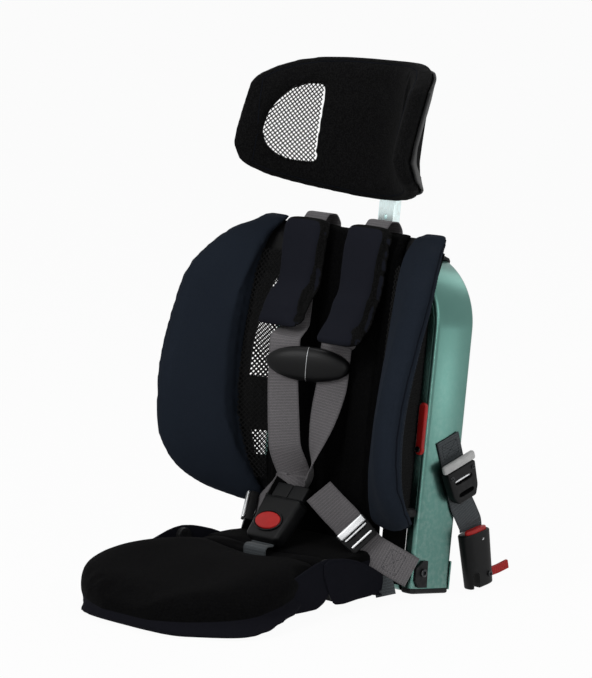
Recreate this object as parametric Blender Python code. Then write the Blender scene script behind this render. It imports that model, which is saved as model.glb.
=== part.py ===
"""Folding travel seat for a child: a reclined metal frame with a winged back, a sliding headrest,
a five-point harness, a seat that folds up against the back, and two lower anchor connectors.

Metres, +Z up, the seat looks along -Y and +X is the child's left. The back is modelled in its own
upright frame, whose origin is the middle of the rails' foot line, and is then reclined as a whole.
"""
from math import atan2, cos, hypot, pi, radians, sin

import bmesh
import bpy
from mathutils import Matrix, Vector

# Whole seat
RECLINE = radians(7.7)
FOOT_SETBACK = 0.1177
TOUCH_GAP = 0.0003
CUT_OVERRUN = 0.004
WEB_WIDTH = 0.038
WEB_THICKNESS = 0.0014
ROUND_STEPS = 3
PIN_SIDES = 12
SPLINE_SLACK = 0.3

# Rails: one hollow section bent over at the top
RAIL_OUTER_X = 0.137
RAIL_THICKNESS = 0.020
RAIL_DEPTH = 0.065
RAIL_CORNER = 0.006
RAIL_WALL = 0.0024
RAIL_BEND_Z = 0.315
RAIL_BEND_RADIUS = 0.075
RAIL_BEND_STEPS = 8
CAP_HEIGHT = 0.006
CAP_PLUG_DEPTH = 0.014
CAP_DRAFT = 0.0015

# Black housing on the crossbar, and the mast that slides in it
HOUSING_WALL = 0.0034
HOUSING_WRAP = radians(22)
GUIDE_WIDTH = 0.046
GUIDE_DEPTH = 0.024
GUIDE_DROP = 0.060
GUIDE_RISE = 0.006
MAST_WIDTH = 0.029
MAST_DEPTH = 0.011
MAST_CORNER = 0.0025
MAST_Y = 0.0085
MAST_BOTTOM = 0.212
MAST_TOP = 0.604
DETENT_RADIUS = 0.0028
DETENT_PITCH = 0.030
DETENT_FIRST_Z = 0.347
DETENT_COUNT = 5
LOCK_WIDTH = 0.020
LOCK_HEIGHT = 0.015
LOCK_SINK = 0.005
LOCK_STAND = 0.003
LOCK_DROP = 0.036

# Back: rows of the wings' middle surface, as shares of the top height, half width and reach
BACK_TOP = 0.427
WING_HALF_WIDTH = 0.199
WING_REACH = 0.157
BACK_CENTRE_Y = -0.054
WING_CURVE_POWER = 2.2
WING_ROW_SHARES = (
    (0.173, 0.633, 0.382, 0.487),
    (0.201, 0.814, 0.522, 0.497),
    (0.244, 0.920, 0.739, 0.533),
    (0.312, 0.965, 0.911, 0.578),
    (0.382, 0.980, 0.975, 0.608),
    (0.457, 0.987, 1.000, 0.633),
    (0.534, 0.995, 0.994, 0.643),
    (0.614, 1.000, 0.962, 0.653),
    (0.714, 1.000, 0.898, 0.653),
    (0.808, 0.990, 0.815, 0.648),
    (0.857, 0.960, 0.745, 0.638),
    (0.904, 0.910, 0.650, 0.628),
    (0.949, 0.844, 0.529, 0.613),
    (0.981, 0.774, 0.376, 0.588),
    (1.000, 0.734, 0.318, 0.578),
)
WING_HALF_THICKNESS = 0.015
SHELL_THICKNESS = 0.004
SHELL_REACH_SHARE = 0.80
SHELL_ROWS = (1, 14)
BACK_PAD_HALF_WIDTH = 0.090
BACK_PAD_FRONT = 0.004
BACK_PAD_BOTTOM = 0.046
BACK_PAD_TOP = 0.423
BOSS_RADIUS = 0.006
BOSS_PLACES = ((0.127, 0.096), (0.018, 0.390))
PAD_AIR = 0.0016
COVER_THICKNESS = 0.0016
COVER_START_SHARE = 0.93
COVER_RAIL_INSET = 0.0200
COVER_ROWS = (2, 13)
COVER_LEAVE_ROW = 9
COVER_TOP_X = 0.148
COVER_TOP_Y = -0.046

# See-through net windows in the back, each side
NET_THICKNESS = 0.0016
NET_STRAND = 0.0016
NET_SINK = 0.004
BACK_NET_PITCH = 0.0094
WINDOW_INNER = 0.094
WINDOW_OUTERS = {3: 0.107, 4: 0.113, 6: 0.120, 7: 0.121, 8: 0.118, 9: 0.109, 10: 0.097}
WINDOW_SPANS = ((3, 4), (6, 10))

# Headrest: shares of the half width, and of the height for the lower and upper edge
HEAD_BOTTOM = 0.453
HEAD_HEIGHT = 0.176
HEAD_HALF_WIDTH = 0.139
HEAD_CENTRE_Y = -0.015
HEAD_PAD_THICKNESS = 0.024
HEAD_SHELL_THICKNESS = 0.004
HEAD_SHELL_INSET = 0.010
HEAD_EDGE_ROUND = 0.003
HEAD_LEVEL_SHARES = (0.275, 0.33, 0.42, 0.57, 0.66)
HEAD_OUTLINE_SHARES = (
    (0.000, 0.000, 1.000),
    (0.220, 0.006, 1.000),
    (0.430, 0.025, 0.994),
    (0.610, 0.045, 0.977),
    (0.755, 0.071, 0.943),
    (0.878, 0.102, 0.881),
    (0.957, 0.148, 0.812),
    (1.000, 0.210, 0.733),
)
HEAD_REACH = 0.119
HEAD_REACH_SHARES = (
    (0.00, 0.74),
    (0.13, 0.80),
    (0.20, 0.90),
    (0.31, 1.00),
    (0.42, 0.975),
    (0.57, 0.916),
    (0.70, 0.857),
    (0.82, 0.798),
    (1.00, 0.672),
)
HEAD_WINDOW = (
    (0.076, 0.493),
    (0.101, 0.493),
    (0.113, 0.502),
    (0.1205, 0.524),
    (0.118, 0.552),
    (0.108, 0.578),
    (0.093, 0.589),
    (0.076, 0.590),
)
HEAD_NET_PITCH = 0.0132
BRACKET_WIDTH = 0.050
BRACKET_DEPTH = 0.020
BRACKET_BOTTOM = 0.556
BRACKET_TOP = 0.612

# Seat: world heights, and reaches forward from the rails' foot line
HINGE_REACH = 0.1583
HINGE_HEIGHT = 0.0580
SEAT_FRONT_REACH = 0.3693
SEAT_HALF_WIDTH = 0.148
SEAT_REAR_REACH = 0.0540
SEAT_SPLIT = 0.0030
PAN_THICKNESS = 0.010
PAN_TUCK = 0.018
SEAT_ROW_SHARES = (
    (0.1462, 0.784, 0.105, 0.440),
    (0.2100, 0.791, 0.140, 0.610),
    (0.2850, 0.797, 0.190, 0.800),
    (0.3550, 0.800, 0.220, 0.900),
    (0.4205, 0.797, 0.235, 0.950),
    (0.4285, 0.797, 0.235, 0.955),
    (0.4900, 0.806, 0.225, 0.985),
    (0.5600, 0.890, 0.200, 1.000),
    (0.6400, 0.968, 0.150, 0.990),
    (0.7200, 1.000, 0.080, 0.940),
    (0.7800, 0.985, 0.025, 0.880),
    (0.8300, 0.930, 0.000, 0.820),
    (0.8800, 0.815, 0.000, 0.750),
    (0.9250, 0.650, 0.000, 0.680),
    (0.9600, 0.470, 0.025, 0.610),
    (0.9850, 0.290, 0.100, 0.520),
)
SEAT_THICKNESS = 0.0640
SEAT_FOLD_ROW = 5
PAD_SECTION_SHARES = (
    (0.00, 0.00), (0.45, 0.00), (0.82, 0.00), (0.96, 0.20), (1.00, 0.48), (0.97, 0.76),
    (0.87, 0.94), (0.70, 1.00), (0.42, 0.94), (0.00, 0.90),
)
EAR_THICKNESS = 0.003
EAR_RADIUS = 0.010
EAR_INNER_X = 0.1195
EAR_GAP = 0.0006
EAR_FOOT = 0.020
PIN_RADIUS = 0.004
PIN_CLEARANCE = 0.00006
CROSSBAR_RADIUS = 0.008
CROSSBAR_REACH = 0.025
CROSSBAR_HEIGHT = 0.017

# Harness, in the back's frame
CLIP_CENTRE = Vector((-0.003, -0.100, 0.256))
CLIP_TURN = radians(30)
CLIP_HALF_LENGTH = 0.052
CLIP_HEIGHT = 0.042
CLIP_THICKNESS = 0.012
CLIP_STRAP_OFFSET = 0.031
CLIP_SEAM = 0.0006
SHOULDER_PAD_WIDTH = 0.066
SHOULDER_PAD_THICKNESS = 0.018
BUCKLE_CENTRE = Vector((0, -0.133, 0.068))
BUCKLE_TILT = radians(34)
BUCKLE_WIDTH = 0.062
BUCKLE_THICKNESS = 0.022
BUCKLE_LENGTH = 0.060
BUTTON_WIDTH = 0.040
BUTTON_HEIGHT = 0.023
BUTTON_SINK = 0.005
BUTTON_STAND = 0.002
BUTTON_DROP = 0.006
BUTTON_CLEARANCE = 0.0004
TONGUE_WIDTH = 0.026
TONGUE_THICKNESS = 0.008
TONGUE_LENGTH = 0.020
YOKE_HEIGHT = 0.030
YOKE_WIDTH = 0.146
YOKE_THICKNESS = 0.003
YOKE_Z = 0.247
STRAP_REAR_Y = -0.0379
STRAP_X = 0.052
STRAP_FOLD = radians(58)
YOKE_Y = -0.036

# Hip straps with their adjusters and anchors, in the back's frame, for the child's left
HIP_ADJUSTER_WIDTH = 0.044
HIP_ADJUSTER_LENGTH = 0.030
HIP_ADJUSTER_THICKNESS = 0.010
HIP_LEVER_WIDTH = 0.040
HIP_LEVER_DEPTH = 0.009
HIP_LEVER_THICKNESS = 0.004
ANCHOR_THICKNESS = 0.003
ANCHOR_OUTLINE = ((-0.031, 0.016), (-0.024, 0.008), (-0.010, 0.008), (-0.012, 0.040), (-0.019, 0.040), (-0.031, 0.031))

# Lower anchor strap, adjuster and connector, on each rail
LATCH_TILT = radians(24)
LATCH_Y = 0.026
LATCH_TOP_Z = 0.192
LATCH_ADJUSTER_Z = 0.134
LATCH_ADJUSTER_WIDTH = 0.048
LATCH_ADJUSTER_HEIGHT = 0.042
LATCH_ADJUSTER_THICKNESS = 0.012
LATCH_LEVER_LENGTH = 0.054
LATCH_LEVER_HEIGHT = 0.011
LATCH_LEVER_THICKNESS = 0.007
LATCH_STRAP_STAND = 0.0012
CONNECTOR_X = 0.1430
CONNECTOR_STRAP_INSET = 0.0045
LATCH_BUTTON_SHIFT = 0.0032
CONNECTOR_SETBACK = 0.0775
CONNECTOR_LEAN = radians(8)
CONNECTOR_WIDTH = 0.044
CONNECTOR_HEIGHT = 0.068
CONNECTOR_THICKNESS = 0.022
CONNECTOR_LIFT = 0.0035
JAW_WIDTH = 0.009
JAW_DEPTH = 0.020
LATCH_BUTTON_WIDTH = 0.034
LATCH_BUTTON_THICKNESS = 0.0095
LATCH_BUTTON_HEIGHT = 0.007
LATCH_BUTTON_SINK = 0.005
TAB_LENGTH = 0.030
TAB_HEIGHT = 0.011
TAB_THICKNESS = 0.006
STORAGE_THICKNESS = 0.002
STORAGE_WIDTH = 0.016
STORAGE_BOTTOM = 0.004
STORAGE_TOP = 0.038

# Red fold levers on the rails' front faces
FOLD_LEVER_X = 0.1307
FOLD_LEVER_Z = 0.172
FOLD_LEVER_WIDTH = 0.012
FOLD_LEVER_BELOW = 0.008
FOLD_LEVER_ABOVE = 0.056
FOLD_LEVER_THICKNESS = 0.006

SIDES = (("left", 1), ("right", -1))
COLOURS = {
    "frame_metal": ((0.045, 0.16, 0.13), 0.28, 0.9),
    "mast_metal": ((0.32, 0.42, 0.41), 0.25, 0.95),
    "black_plastic": ((0.012, 0.012, 0.013), 0.45, 0.0),
    "bare_steel": ((0.55, 0.55, 0.54), 0.35, 1.0),
    "red_plastic": ((0.55, 0.01, 0.008), 0.3, 0.0),
    "navy_cloth": ((0.008, 0.011, 0.022), 0.85, 0.0),
    "black_cloth": ((0.010, 0.010, 0.011), 0.9, 0.0),
    "net_cloth": ((0.014, 0.014, 0.014), 0.85, 0.0),
    "grey_webbing": ((0.10, 0.10, 0.105), 0.8, 0.0),
    "black_webbing": ((0.015, 0.015, 0.016), 0.8, 0.0),
}

# Sizes worked out from the ones above
RAIL_X = RAIL_OUTER_X - 0.5 * RAIL_THICKNESS
RAIL_FRONT = -0.5 * RAIL_DEPTH
BEND_X = RAIL_X - RAIL_BEND_RADIUS
CROSSBAR_Z = RAIL_BEND_Z + RAIL_BEND_RADIUS
FOOT_LIFT = 0.5 * RAIL_DEPTH * sin(RECLINE)
SHELL_FRONT = WING_HALF_THICKNESS - SHELL_THICKNESS
PAD_BACK = SHELL_FRONT - 2 * TOUCH_GAP


def clear_scene():
    """Remove whatever the scene held."""
    for item in list(bpy.data.objects):
        bpy.data.objects.remove(item, do_unlink=True)


def material(name):
    """Give the Principled material of one finish."""
    found = bpy.data.materials.get(name)
    if found:
        return found
    colour, roughness, metallic = COLOURS[name]
    made = bpy.data.materials.new(name)
    made.use_nodes = True
    shader = made.node_tree.nodes["Principled BSDF"]
    shader.inputs["Base Color"].default_value = (*colour, 1)
    shader.inputs["Roughness"].default_value = roughness
    shader.inputs["Metallic"].default_value = metallic
    return made


def empty(name, parent=None, location=(0, 0, 0), turn=0.0):
    """Add an empty that carries other pieces."""
    item = bpy.data.objects.new(name, None)
    bpy.context.collection.objects.link(item)
    item.parent = parent
    item.location = location
    item.rotation_euler = (turn, 0, 0)
    return item


def add_object(name, bm, finish, parent=None, pivot=None, smooth=radians(40)):
    """Turn a bmesh into a named object whose origin is its pivot."""
    pivot = Vector(pivot) if pivot else Vector()
    bmesh.ops.translate(bm, vec=-pivot, verts=bm.verts)
    bmesh.ops.recalc_face_normals(bm, faces=bm.faces)
    quads = [face for face in bm.faces if len(face.verts) == 4]
    bmesh.ops.triangulate(bm, faces=quads, quad_method="SHORT_EDGE")
    mesh = bpy.data.meshes.new(name)
    bm.to_mesh(mesh)
    bm.free()
    mesh.shade_smooth()
    mesh.set_sharp_from_angle(angle=smooth)
    mesh.materials.append(material(finish))
    item = bpy.data.objects.new(name, mesh)
    bpy.context.collection.objects.link(item)
    item.parent = parent
    item.location = pivot
    return item


def join_cut(target, bm, operation, name):
    """Unite the target with a guide solid, or cut it by one."""
    mesh = bpy.data.meshes.new(name)
    bmesh.ops.recalc_face_normals(bm, faces=bm.faces)
    bm.to_mesh(mesh)
    bm.free()
    tool = bpy.data.objects.new(name, mesh)
    bpy.context.collection.objects.link(tool)
    tool.parent = target.parent
    tool.hide_render = True
    tool.display_type = "WIRE"
    change = target.modifiers.new(name, "BOOLEAN")
    change.operation = operation
    change.object = tool
    change.solver = "EXACT"


def outline_rounded(width, height, radius, steps=ROUND_STEPS):
    """List the points of a rectangle with round corners."""
    points = []
    corners = ((1, 1, 0.0), (-1, 1, 0.5 * pi), (-1, -1, pi), (1, -1, 1.5 * pi))
    for right, up, start in corners:
        for step in range(steps + 1):
            angle = start + 0.5 * pi * step / steps
            u = right * (0.5 * width - radius) + radius * cos(angle)
            v = up * (0.5 * height - radius) + radius * sin(angle)
            points.append((u, v))
    return points


def body_from_rings(rings, closed=False):
    """Skin a list of rings of equal count, with end caps unless it closes on itself."""
    bm = bmesh.new()
    made = [[bm.verts.new(point) for point in ring] for ring in rings]
    pairs = list(zip(made, made[1:]))
    if closed:
        pairs.append((made[-1], made[0]))
    for low, high in pairs:
        for index in range(len(low)):
            after = (index + 1) % len(low)
            bm.faces.new((low[index], low[after], high[after], high[index]))
    if not closed:
        bm.faces.new(made[0])
        bm.faces.new(made[-1])
    return bm


def box(size, centre=(0, 0, 0), bevel=0.0, segments=1, matrix=None):
    """Make a box, bevelled if asked, and place it by a matrix."""
    bm = bmesh.new()
    bmesh.ops.create_cube(bm, size=1)
    bmesh.ops.scale(bm, vec=size, verts=bm.verts)
    if bevel:
        bmesh.ops.bevel(bm, geom=bm.edges[:], offset=bevel, segments=segments, affect="EDGES", profile=0.5)
    bmesh.ops.translate(bm, vec=centre, verts=bm.verts)
    if matrix:
        bmesh.ops.transform(bm, matrix=matrix, verts=bm.verts)
    return bm


def prism(outline, low, high, axis="y", matrix=None, bevel=0.0):
    """Extrude an outline along one axis, between two values."""
    bm = bmesh.new()
    lift = {
        "x": lambda a, b, c: (c, a, b),
        "y": lambda a, b, c: (a, c, b),
        "z": lambda a, b, c: (a, b, c),
    }[axis]
    face = bm.faces.new([bm.verts.new(lift(a, b, low)) for a, b in outline])
    grown = bmesh.ops.extrude_face_region(bm, geom=[face])
    moved = [item for item in grown["geom"] if isinstance(item, bmesh.types.BMVert)]
    bmesh.ops.translate(bm, vec=lift(0, 0, high - low), verts=moved)
    if bevel:
        rims = [edge for edge in bm.edges if len({round(lift_back(v.co, axis), 7) for v in edge.verts}) == 1]
        bmesh.ops.bevel(bm, geom=rims, offset=bevel, segments=1, affect="EDGES", profile=0.5)
    if matrix:
        bmesh.ops.transform(bm, matrix=matrix, verts=bm.verts)
    return bm


def lift_back(point, axis):
    """Read the value along an axis named by its letter."""
    return point["xyz".index(axis)]


def cylinder(radius, low, high, axis="x", centre=(0, 0, 0), sides=PIN_SIDES):
    """Make a cylinder along one axis, between two values."""
    angles = [2 * pi * side / sides for side in range(sides)]
    outline = [(radius * cos(angle), radius * sin(angle)) for angle in angles]
    bm = prism(outline, low, high, axis)
    bmesh.ops.translate(bm, vec=centre, verts=bm.verts)
    return bm


def frame_matrix(origin, along, across):
    """Give the matrix of a frame: local x along, local y across, local z out of both."""
    along = along.normalized()
    out = along.cross(across).normalized()
    across = out.cross(along)
    turn = Matrix((along, across, out)).transposed().to_4x4()
    return Matrix.Translation(origin) @ turn


def smooth_route(points, steps):
    """Run a smooth curve through points that each hold a place and a width direction."""
    padded = [points[0], *points, points[-1]]
    route = []
    for index in range(len(points) - 1):
        near = padded[index:index + 4]
        for step in range(steps):
            share = step / steps
            route.append(tuple(blend_four([item[part] for item in near], share) for part in (0, 1)))
    route.append(points[-1])
    return route


def blend_four(values, share):
    """Blend four neighbours along a Catmull-Rom curve."""
    before, start, end, after = values
    slope_in = SPLINE_SLACK * (end - before)
    slope_out = SPLINE_SLACK * (after - start)
    cube = 2 * start - 2 * end + slope_in + slope_out
    square = -3 * start + 3 * end - 2 * slope_in - slope_out
    return ((cube * share + square) * share + slope_in) * share + start


def ribbon(points, width=WEB_WIDTH, thickness=WEB_THICKNESS, steps=4):
    """Lay flat webbing along a route of places and width directions."""
    corners = ((-0.5, -0.5), (0.5, -0.5), (0.5, 0.5), (-0.5, 0.5))
    rings = []
    for place, across, out in route_frames(smooth_route(points, steps)):
        rings.append([place + across * a * width + out * b * thickness for a, b in corners])
    return body_from_rings(rings)


def interpolate(rows, key, column, value):
    """Read a column of a table at a value of its key column."""
    rows = sorted(rows, key=lambda row: row[key])
    if value <= rows[0][key]:
        return rows[0][column]
    for low, high in zip(rows, rows[1:]):
        if value <= high[key]:
            share = (value - low[key]) / (high[key] - low[key])
            return low[column] + share * (high[column] - low[column])
    return rows[-1][column]


def wing_edge(z):
    """Give the wing's half width, reach and inner seam at a height."""
    share = z / BACK_TOP
    half_width = WING_HALF_WIDTH * interpolate(WING_ROW_SHARES, 0, 1, share)
    reach = WING_REACH * interpolate(WING_ROW_SHARES, 0, 2, share)
    seam = WING_HALF_WIDTH * interpolate(WING_ROW_SHARES, 0, 3, share)
    return half_width, reach, seam


def back_middle(x, z):
    """Give the depth of the back's middle surface."""
    half_width, reach, _ = wing_edge(z)
    return BACK_CENTRE_Y - (reach + BACK_CENTRE_Y) * (abs(x) / half_width) ** WING_CURVE_POWER


def surface_point(middle, x, z, offset):
    """Step off a curved surface by an offset square to it, backwards when positive."""
    step = TOUCH_GAP
    slope = (middle(x + step, z) - middle(x - step, z)) / (2 * step)
    length = hypot(slope, 1)
    return Vector((x - slope * offset / length, middle(x, z) + offset / length, z))


def back_point(x, z, offset):
    """Place a point off the back's middle surface."""
    return surface_point(back_middle, x, z, offset)


def wing_rows(first=0, last=len(WING_ROW_SHARES)):
    """List the heights of the back's rows, in a range of them."""
    return [row[0] * BACK_TOP for row in WING_ROW_SHARES[first:last]]


def make_rail(name, side, parent):
    """Bend one hollow rail from its foot to the middle of the crossbar."""
    stations = [(RAIL_X, CAP_HEIGHT + TOUCH_GAP, 0.0)]
    for step in range(RAIL_BEND_STEPS + 1):
        angle = 0.5 * pi * step / RAIL_BEND_STEPS
        x = BEND_X + RAIL_BEND_RADIUS * cos(angle)
        z = RAIL_BEND_Z + RAIL_BEND_RADIUS * sin(angle)
        stations.append((x, z, angle))
    stations.append((0.5 * GUIDE_WIDTH + TOUCH_GAP, CROSSBAR_Z, 0.5 * pi))
    outer = section_rings(stations, side, RAIL_THICKNESS, RAIL_DEPTH, RAIL_CORNER)
    hollow = 2 * RAIL_WALL
    inner = section_rings(stations, side, RAIL_THICKNESS - hollow, RAIL_DEPTH - hollow, RAIL_CORNER - RAIL_WALL)
    return add_object(name, body_from_rings(outer + inner[::-1], closed=True), "frame_metal", parent)


def section_rings(stations, side, thickness, depth, corner):
    """Set a rounded section square to each station of a path in the X-Z plane."""
    outline = outline_rounded(thickness, depth, corner)
    rings = []
    for x, z, angle in stations:
        rings.append([Vector((side * (x + u * cos(angle)), v, z + u * sin(angle))) for u, v in outline])
    return rings


def make_foot_cap(name, side, parent):
    """Close a rail's foot with a cap whose plug sits in the hollow."""
    clear = 2 * (RAIL_WALL + TOUCH_GAP)
    plug = (RAIL_THICKNESS - clear, RAIL_DEPTH - clear, RAIL_CORNER - RAIL_WALL - TOUCH_GAP)
    full = (RAIL_THICKNESS, RAIL_DEPTH, RAIL_CORNER)
    drawn = (RAIL_THICKNESS - 2 * CAP_DRAFT, RAIL_DEPTH - 2 * CAP_DRAFT, RAIL_CORNER - CAP_DRAFT)
    levels = ((0.0, drawn), (CAP_DRAFT, full), (CAP_HEIGHT, full), (CAP_HEIGHT, plug))
    levels += ((CAP_HEIGHT + CAP_PLUG_DEPTH, plug),)
    rings = []
    for z, (thickness, depth, corner) in levels:
        rings += section_rings([(RAIL_X, z, 0.0)], side, thickness, depth, corner)
    return add_object(name, body_from_rings(rings), "black_plastic", parent)


def make_housing(parent):
    """Sleeve the crossbar's middle, with a block that guides the mast."""
    angles = [0.5 * pi - HOUSING_WRAP * share for share in (1.0, 0.5, 0.0)]
    half = [(BEND_X + RAIL_BEND_RADIUS * cos(a), RAIL_BEND_Z + RAIL_BEND_RADIUS * sin(a), a) for a in angles]
    other = [(-x, z, pi - a) for x, z, a in half[::-1]]
    stations = half + other
    clear = 2 * TOUCH_GAP
    wall = 2 * (HOUSING_WALL + TOUCH_GAP)
    inner_size = (RAIL_THICKNESS + clear, RAIL_DEPTH + clear, RAIL_CORNER + TOUCH_GAP)
    outer_size = (RAIL_THICKNESS + wall, RAIL_DEPTH + wall, RAIL_CORNER + HOUSING_WALL + TOUCH_GAP)
    rings = section_rings(stations, 1, *outer_size) + section_rings(stations, 1, *inner_size)[::-1]
    item = add_object("top_housing", body_from_rings(rings, closed=True), "black_plastic", parent)
    top = CROSSBAR_Z + 0.5 * RAIL_THICKNESS + GUIDE_RISE
    bottom = CROSSBAR_Z - 0.5 * RAIL_THICKNESS - GUIDE_DROP
    middle = 0.5 * (top + bottom)
    block = box((GUIDE_WIDTH, GUIDE_DEPTH, top - bottom), (0, MAST_Y, middle), CAP_DRAFT)
    join_cut(item, block, "UNION", "guide_block")
    web = box((GUIDE_WIDTH, RAIL_DEPTH + HOUSING_WALL, RAIL_THICKNESS + HOUSING_WALL), (0, 0, CROSSBAR_Z))
    join_cut(item, web, "UNION", "guide_web")
    slot = outline_rounded(MAST_WIDTH + clear, MAST_DEPTH + clear, MAST_CORNER + TOUCH_GAP, 2)
    cutter = prism([(u, v + MAST_Y) for u, v in slot], bottom - CUT_OVERRUN, top + CUT_OVERRUN, "z")
    join_cut(item, cutter, "DIFFERENCE", "mast_slot")
    pocket = box(
        (LOCK_WIDTH + 2 * clear, 2 * LOCK_SINK, LOCK_HEIGHT + 2 * clear),
        (0, MAST_Y + 0.5 * GUIDE_DEPTH, CROSSBAR_Z - LOCK_DROP),
    )
    join_cut(item, pocket, "DIFFERENCE", "lock_pocket")
    return item


def make_lock_button(parent):
    """Seat the mast's lock button in the rear face of the guide block."""
    rear = MAST_Y + 0.5 * GUIDE_DEPTH
    travel = LOCK_STAND - TOUCH_GAP
    inner = rear - LOCK_SINK + travel
    depth = rear + LOCK_STAND - inner
    centre = (0, inner + 0.5 * depth, CROSSBAR_Z - LOCK_DROP)
    bm = box((LOCK_WIDTH, depth, LOCK_HEIGHT), centre, CAP_DRAFT)
    return add_object("mast_lock_button", bm, "black_plastic", parent, centre)


def make_mast(parent):
    """Make the flat bar that carries the headrest, with its row of detent holes."""
    outline = outline_rounded(MAST_WIDTH, MAST_DEPTH, MAST_CORNER, 2)
    bm = prism([(u, v + MAST_Y) for u, v in outline], MAST_BOTTOM, MAST_TOP, "z")
    item = add_object("mast", bm, "mast_metal", parent, (0, MAST_Y, CROSSBAR_Z))
    holes = bmesh.new()
    for index in range(DETENT_COUNT):
        z = DETENT_FIRST_Z + index * DETENT_PITCH
        hole = cylinder(DETENT_RADIUS, MAST_Y - MAST_DEPTH, MAST_Y + MAST_DEPTH, "y", (0, 0, z), 8)
        mesh = bpy.data.meshes.new("detent")
        hole.to_mesh(mesh)
        hole.free()
        holes.from_mesh(mesh)
        bpy.data.meshes.remove(mesh)
    join_cut(item, holes, "DIFFERENCE", "detent_holes")
    return item


def shell_columns(row):
    """List the shell's half of columns in a row: pad, pad edge, window, wing seam, wing, edge."""
    z = wing_rows()[row]
    half_width, _, seam = wing_edge(z)
    edge = SHELL_REACH_SHARE * half_width
    window = min(WINDOW_OUTERS.get(row, seam), seam - 2 * NET_STRAND)
    window = max(window, BACK_PAD_HALF_WIDTH + NET_STRAND)
    return [0.5 * BACK_PAD_HALF_WIDTH, BACK_PAD_HALF_WIDTH, window, seam, 0.5 * (seam + edge), edge]


def make_shell(parent):
    """Mould the rigid shell behind the pads, open behind the net windows, with bosses to the rails."""
    rows = range(*SHELL_ROWS)
    heights = wing_rows()
    columns = [[-x for x in shell_columns(row)[::-1]] + shell_columns(row) for row in rows]
    count = len(columns[0])
    inner = count // 2 + 1
    open_cells = set()
    for first, last in WINDOW_SPANS:
        for row in range(first, last):
            index = row - SHELL_ROWS[0]
            open_cells |= {(index, inner), (index, count - 2 - inner)}
    front = [[back_point(x, heights[row], SHELL_FRONT) for x in xs] for row, xs in zip(rows, columns)]
    rear = [[back_point(x, heights[row], WING_HALF_THICKNESS) for x in xs] for row, xs in zip(rows, columns)]
    item = add_object("back_shell", sheet_body(front, rear, open_cells), "black_plastic", parent)
    start = SHELL_FRONT + 0.5 * SHELL_THICKNESS
    for number, (x, z) in enumerate(BOSS_PLACES):
        rear_y = RAIL_FRONT - TOUCH_GAP - (HOUSING_WALL + TOUCH_GAP) * number
        for name, side in SIDES:
            boss = cylinder(BOSS_RADIUS, back_point(x - 1.1 * BOSS_RADIUS, z, start).y, rear_y, "y", (side * x, 0, z), 10)
            join_cut(item, boss, "UNION", f"boss_{number}_{name}")
    return item


def sheet_body(front, rear, open_cells=()):
    """Close two grids of points into one sheet, leaving the open cells out."""
    bm = bmesh.new()
    rows, columns = len(front), len(front[0])
    near = [[bm.verts.new(point) for point in line] for line in front]
    far = [[bm.verts.new(point) for point in line] for line in rear]
    cells = {(r, c) for r in range(rows - 1) for c in range(columns - 1)} - set(open_cells)
    for r, c in sorted(cells):
        bm.faces.new((near[r][c], near[r][c + 1], near[r + 1][c + 1], near[r + 1][c]))
        bm.faces.new((far[r][c], far[r + 1][c], far[r + 1][c + 1], far[r][c + 1]))
        edges = (
            ((r - 1, c), (r, c), (r, c + 1)),
            ((r + 1, c), (r + 1, c + 1), (r + 1, c)),
            ((r, c - 1), (r + 1, c), (r, c)),
            ((r, c + 1), (r, c + 1), (r + 1, c + 1)),
        )
        for other, (r1, c1), (r2, c2) in edges:
            if other not in cells:
                bm.faces.new((near[r1][c1], far[r1][c1], far[r2][c2], near[r2][c2]))
    loose = [vert for vert in bm.verts if not vert.link_faces]
    bmesh.ops.delete(bm, geom=loose, context="VERTS")
    return bm


def make_wing_pad(name, side, parent):
    """Pad one wing: crowned in front, round at the tip, drawn in at its seams."""
    rings = []
    last = len(WING_ROW_SHARES) - 1
    for row, z in enumerate(wing_rows()):
        half_width, _, seam = wing_edge(z)
        front = WING_HALF_THICKNESS * (0.6 if row in (0, last) else 1.0)
        ring = []
        for share, crown in ((0, 0.55), (0.15, 0.85), (0.45, 1.0), (0.75, 1.0), (0.93, 0.92), (1.0, 0.6)):
            ring.append(back_point(seam + share * (half_width - seam), z, -front * crown))
        tip = back_point(half_width, z, 0)
        inside = back_point(half_width - TOUCH_GAP, z, 0)
        ring.append(tip + (tip - inside).normalized() * 0.45 * front)
        for share, crown in ((1.0, 0.6), (0.95, 0.92)):
            ring.append(back_point(seam + share * (half_width - seam), z, front * crown))
        _, _, _, inner, middle, edge = shell_columns(row)
        behind = min(SHELL_FRONT - PAD_AIR, front)
        ring.append(back_point(edge + SHELL_THICKNESS + PAD_AIR, z, front * 0.95))
        ring.append(back_point(edge + PAD_AIR, z, behind))
        ring += [back_point(x, z, behind) for x in (middle, inner)]
        rings.append([Vector((side * point.x, point.y, point.z)) for point in ring])
    return add_object(name, body_from_rings(rings), "navy_cloth", parent)


def make_back_pad(parent):
    """Pad the middle of the back, crowned and drawn in along its sides and ends."""
    heights = [BACK_PAD_BOTTOM, BACK_PAD_BOTTOM + BACK_PAD_FRONT, *wing_rows(0, -1), BACK_PAD_TOP]
    edge = BACK_PAD_HALF_WIDTH
    crowns = ((1.0, 0.0), (0.93, 0.75), (0.7, 1.0), (0.3, 0.9))
    rings = []
    for z in heights:
        ends = 0.35 if z in (BACK_PAD_BOTTOM, BACK_PAD_TOP) else 1.0
        half = [(share * edge, -BACK_PAD_FRONT * crown * ends) for share, crown in crowns]
        ring = [back_point(-x, z, offset) for x, offset in half] + [back_point(x, z, o) for x, o in half[::-1]]
        ring += [back_point(x, z, PAD_BACK) for x in (edge, 0.5 * edge, -0.5 * edge, -edge)]
        rings.append(ring)
    return add_object("back_pad", body_from_rings(rings), "black_cloth", parent)


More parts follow.
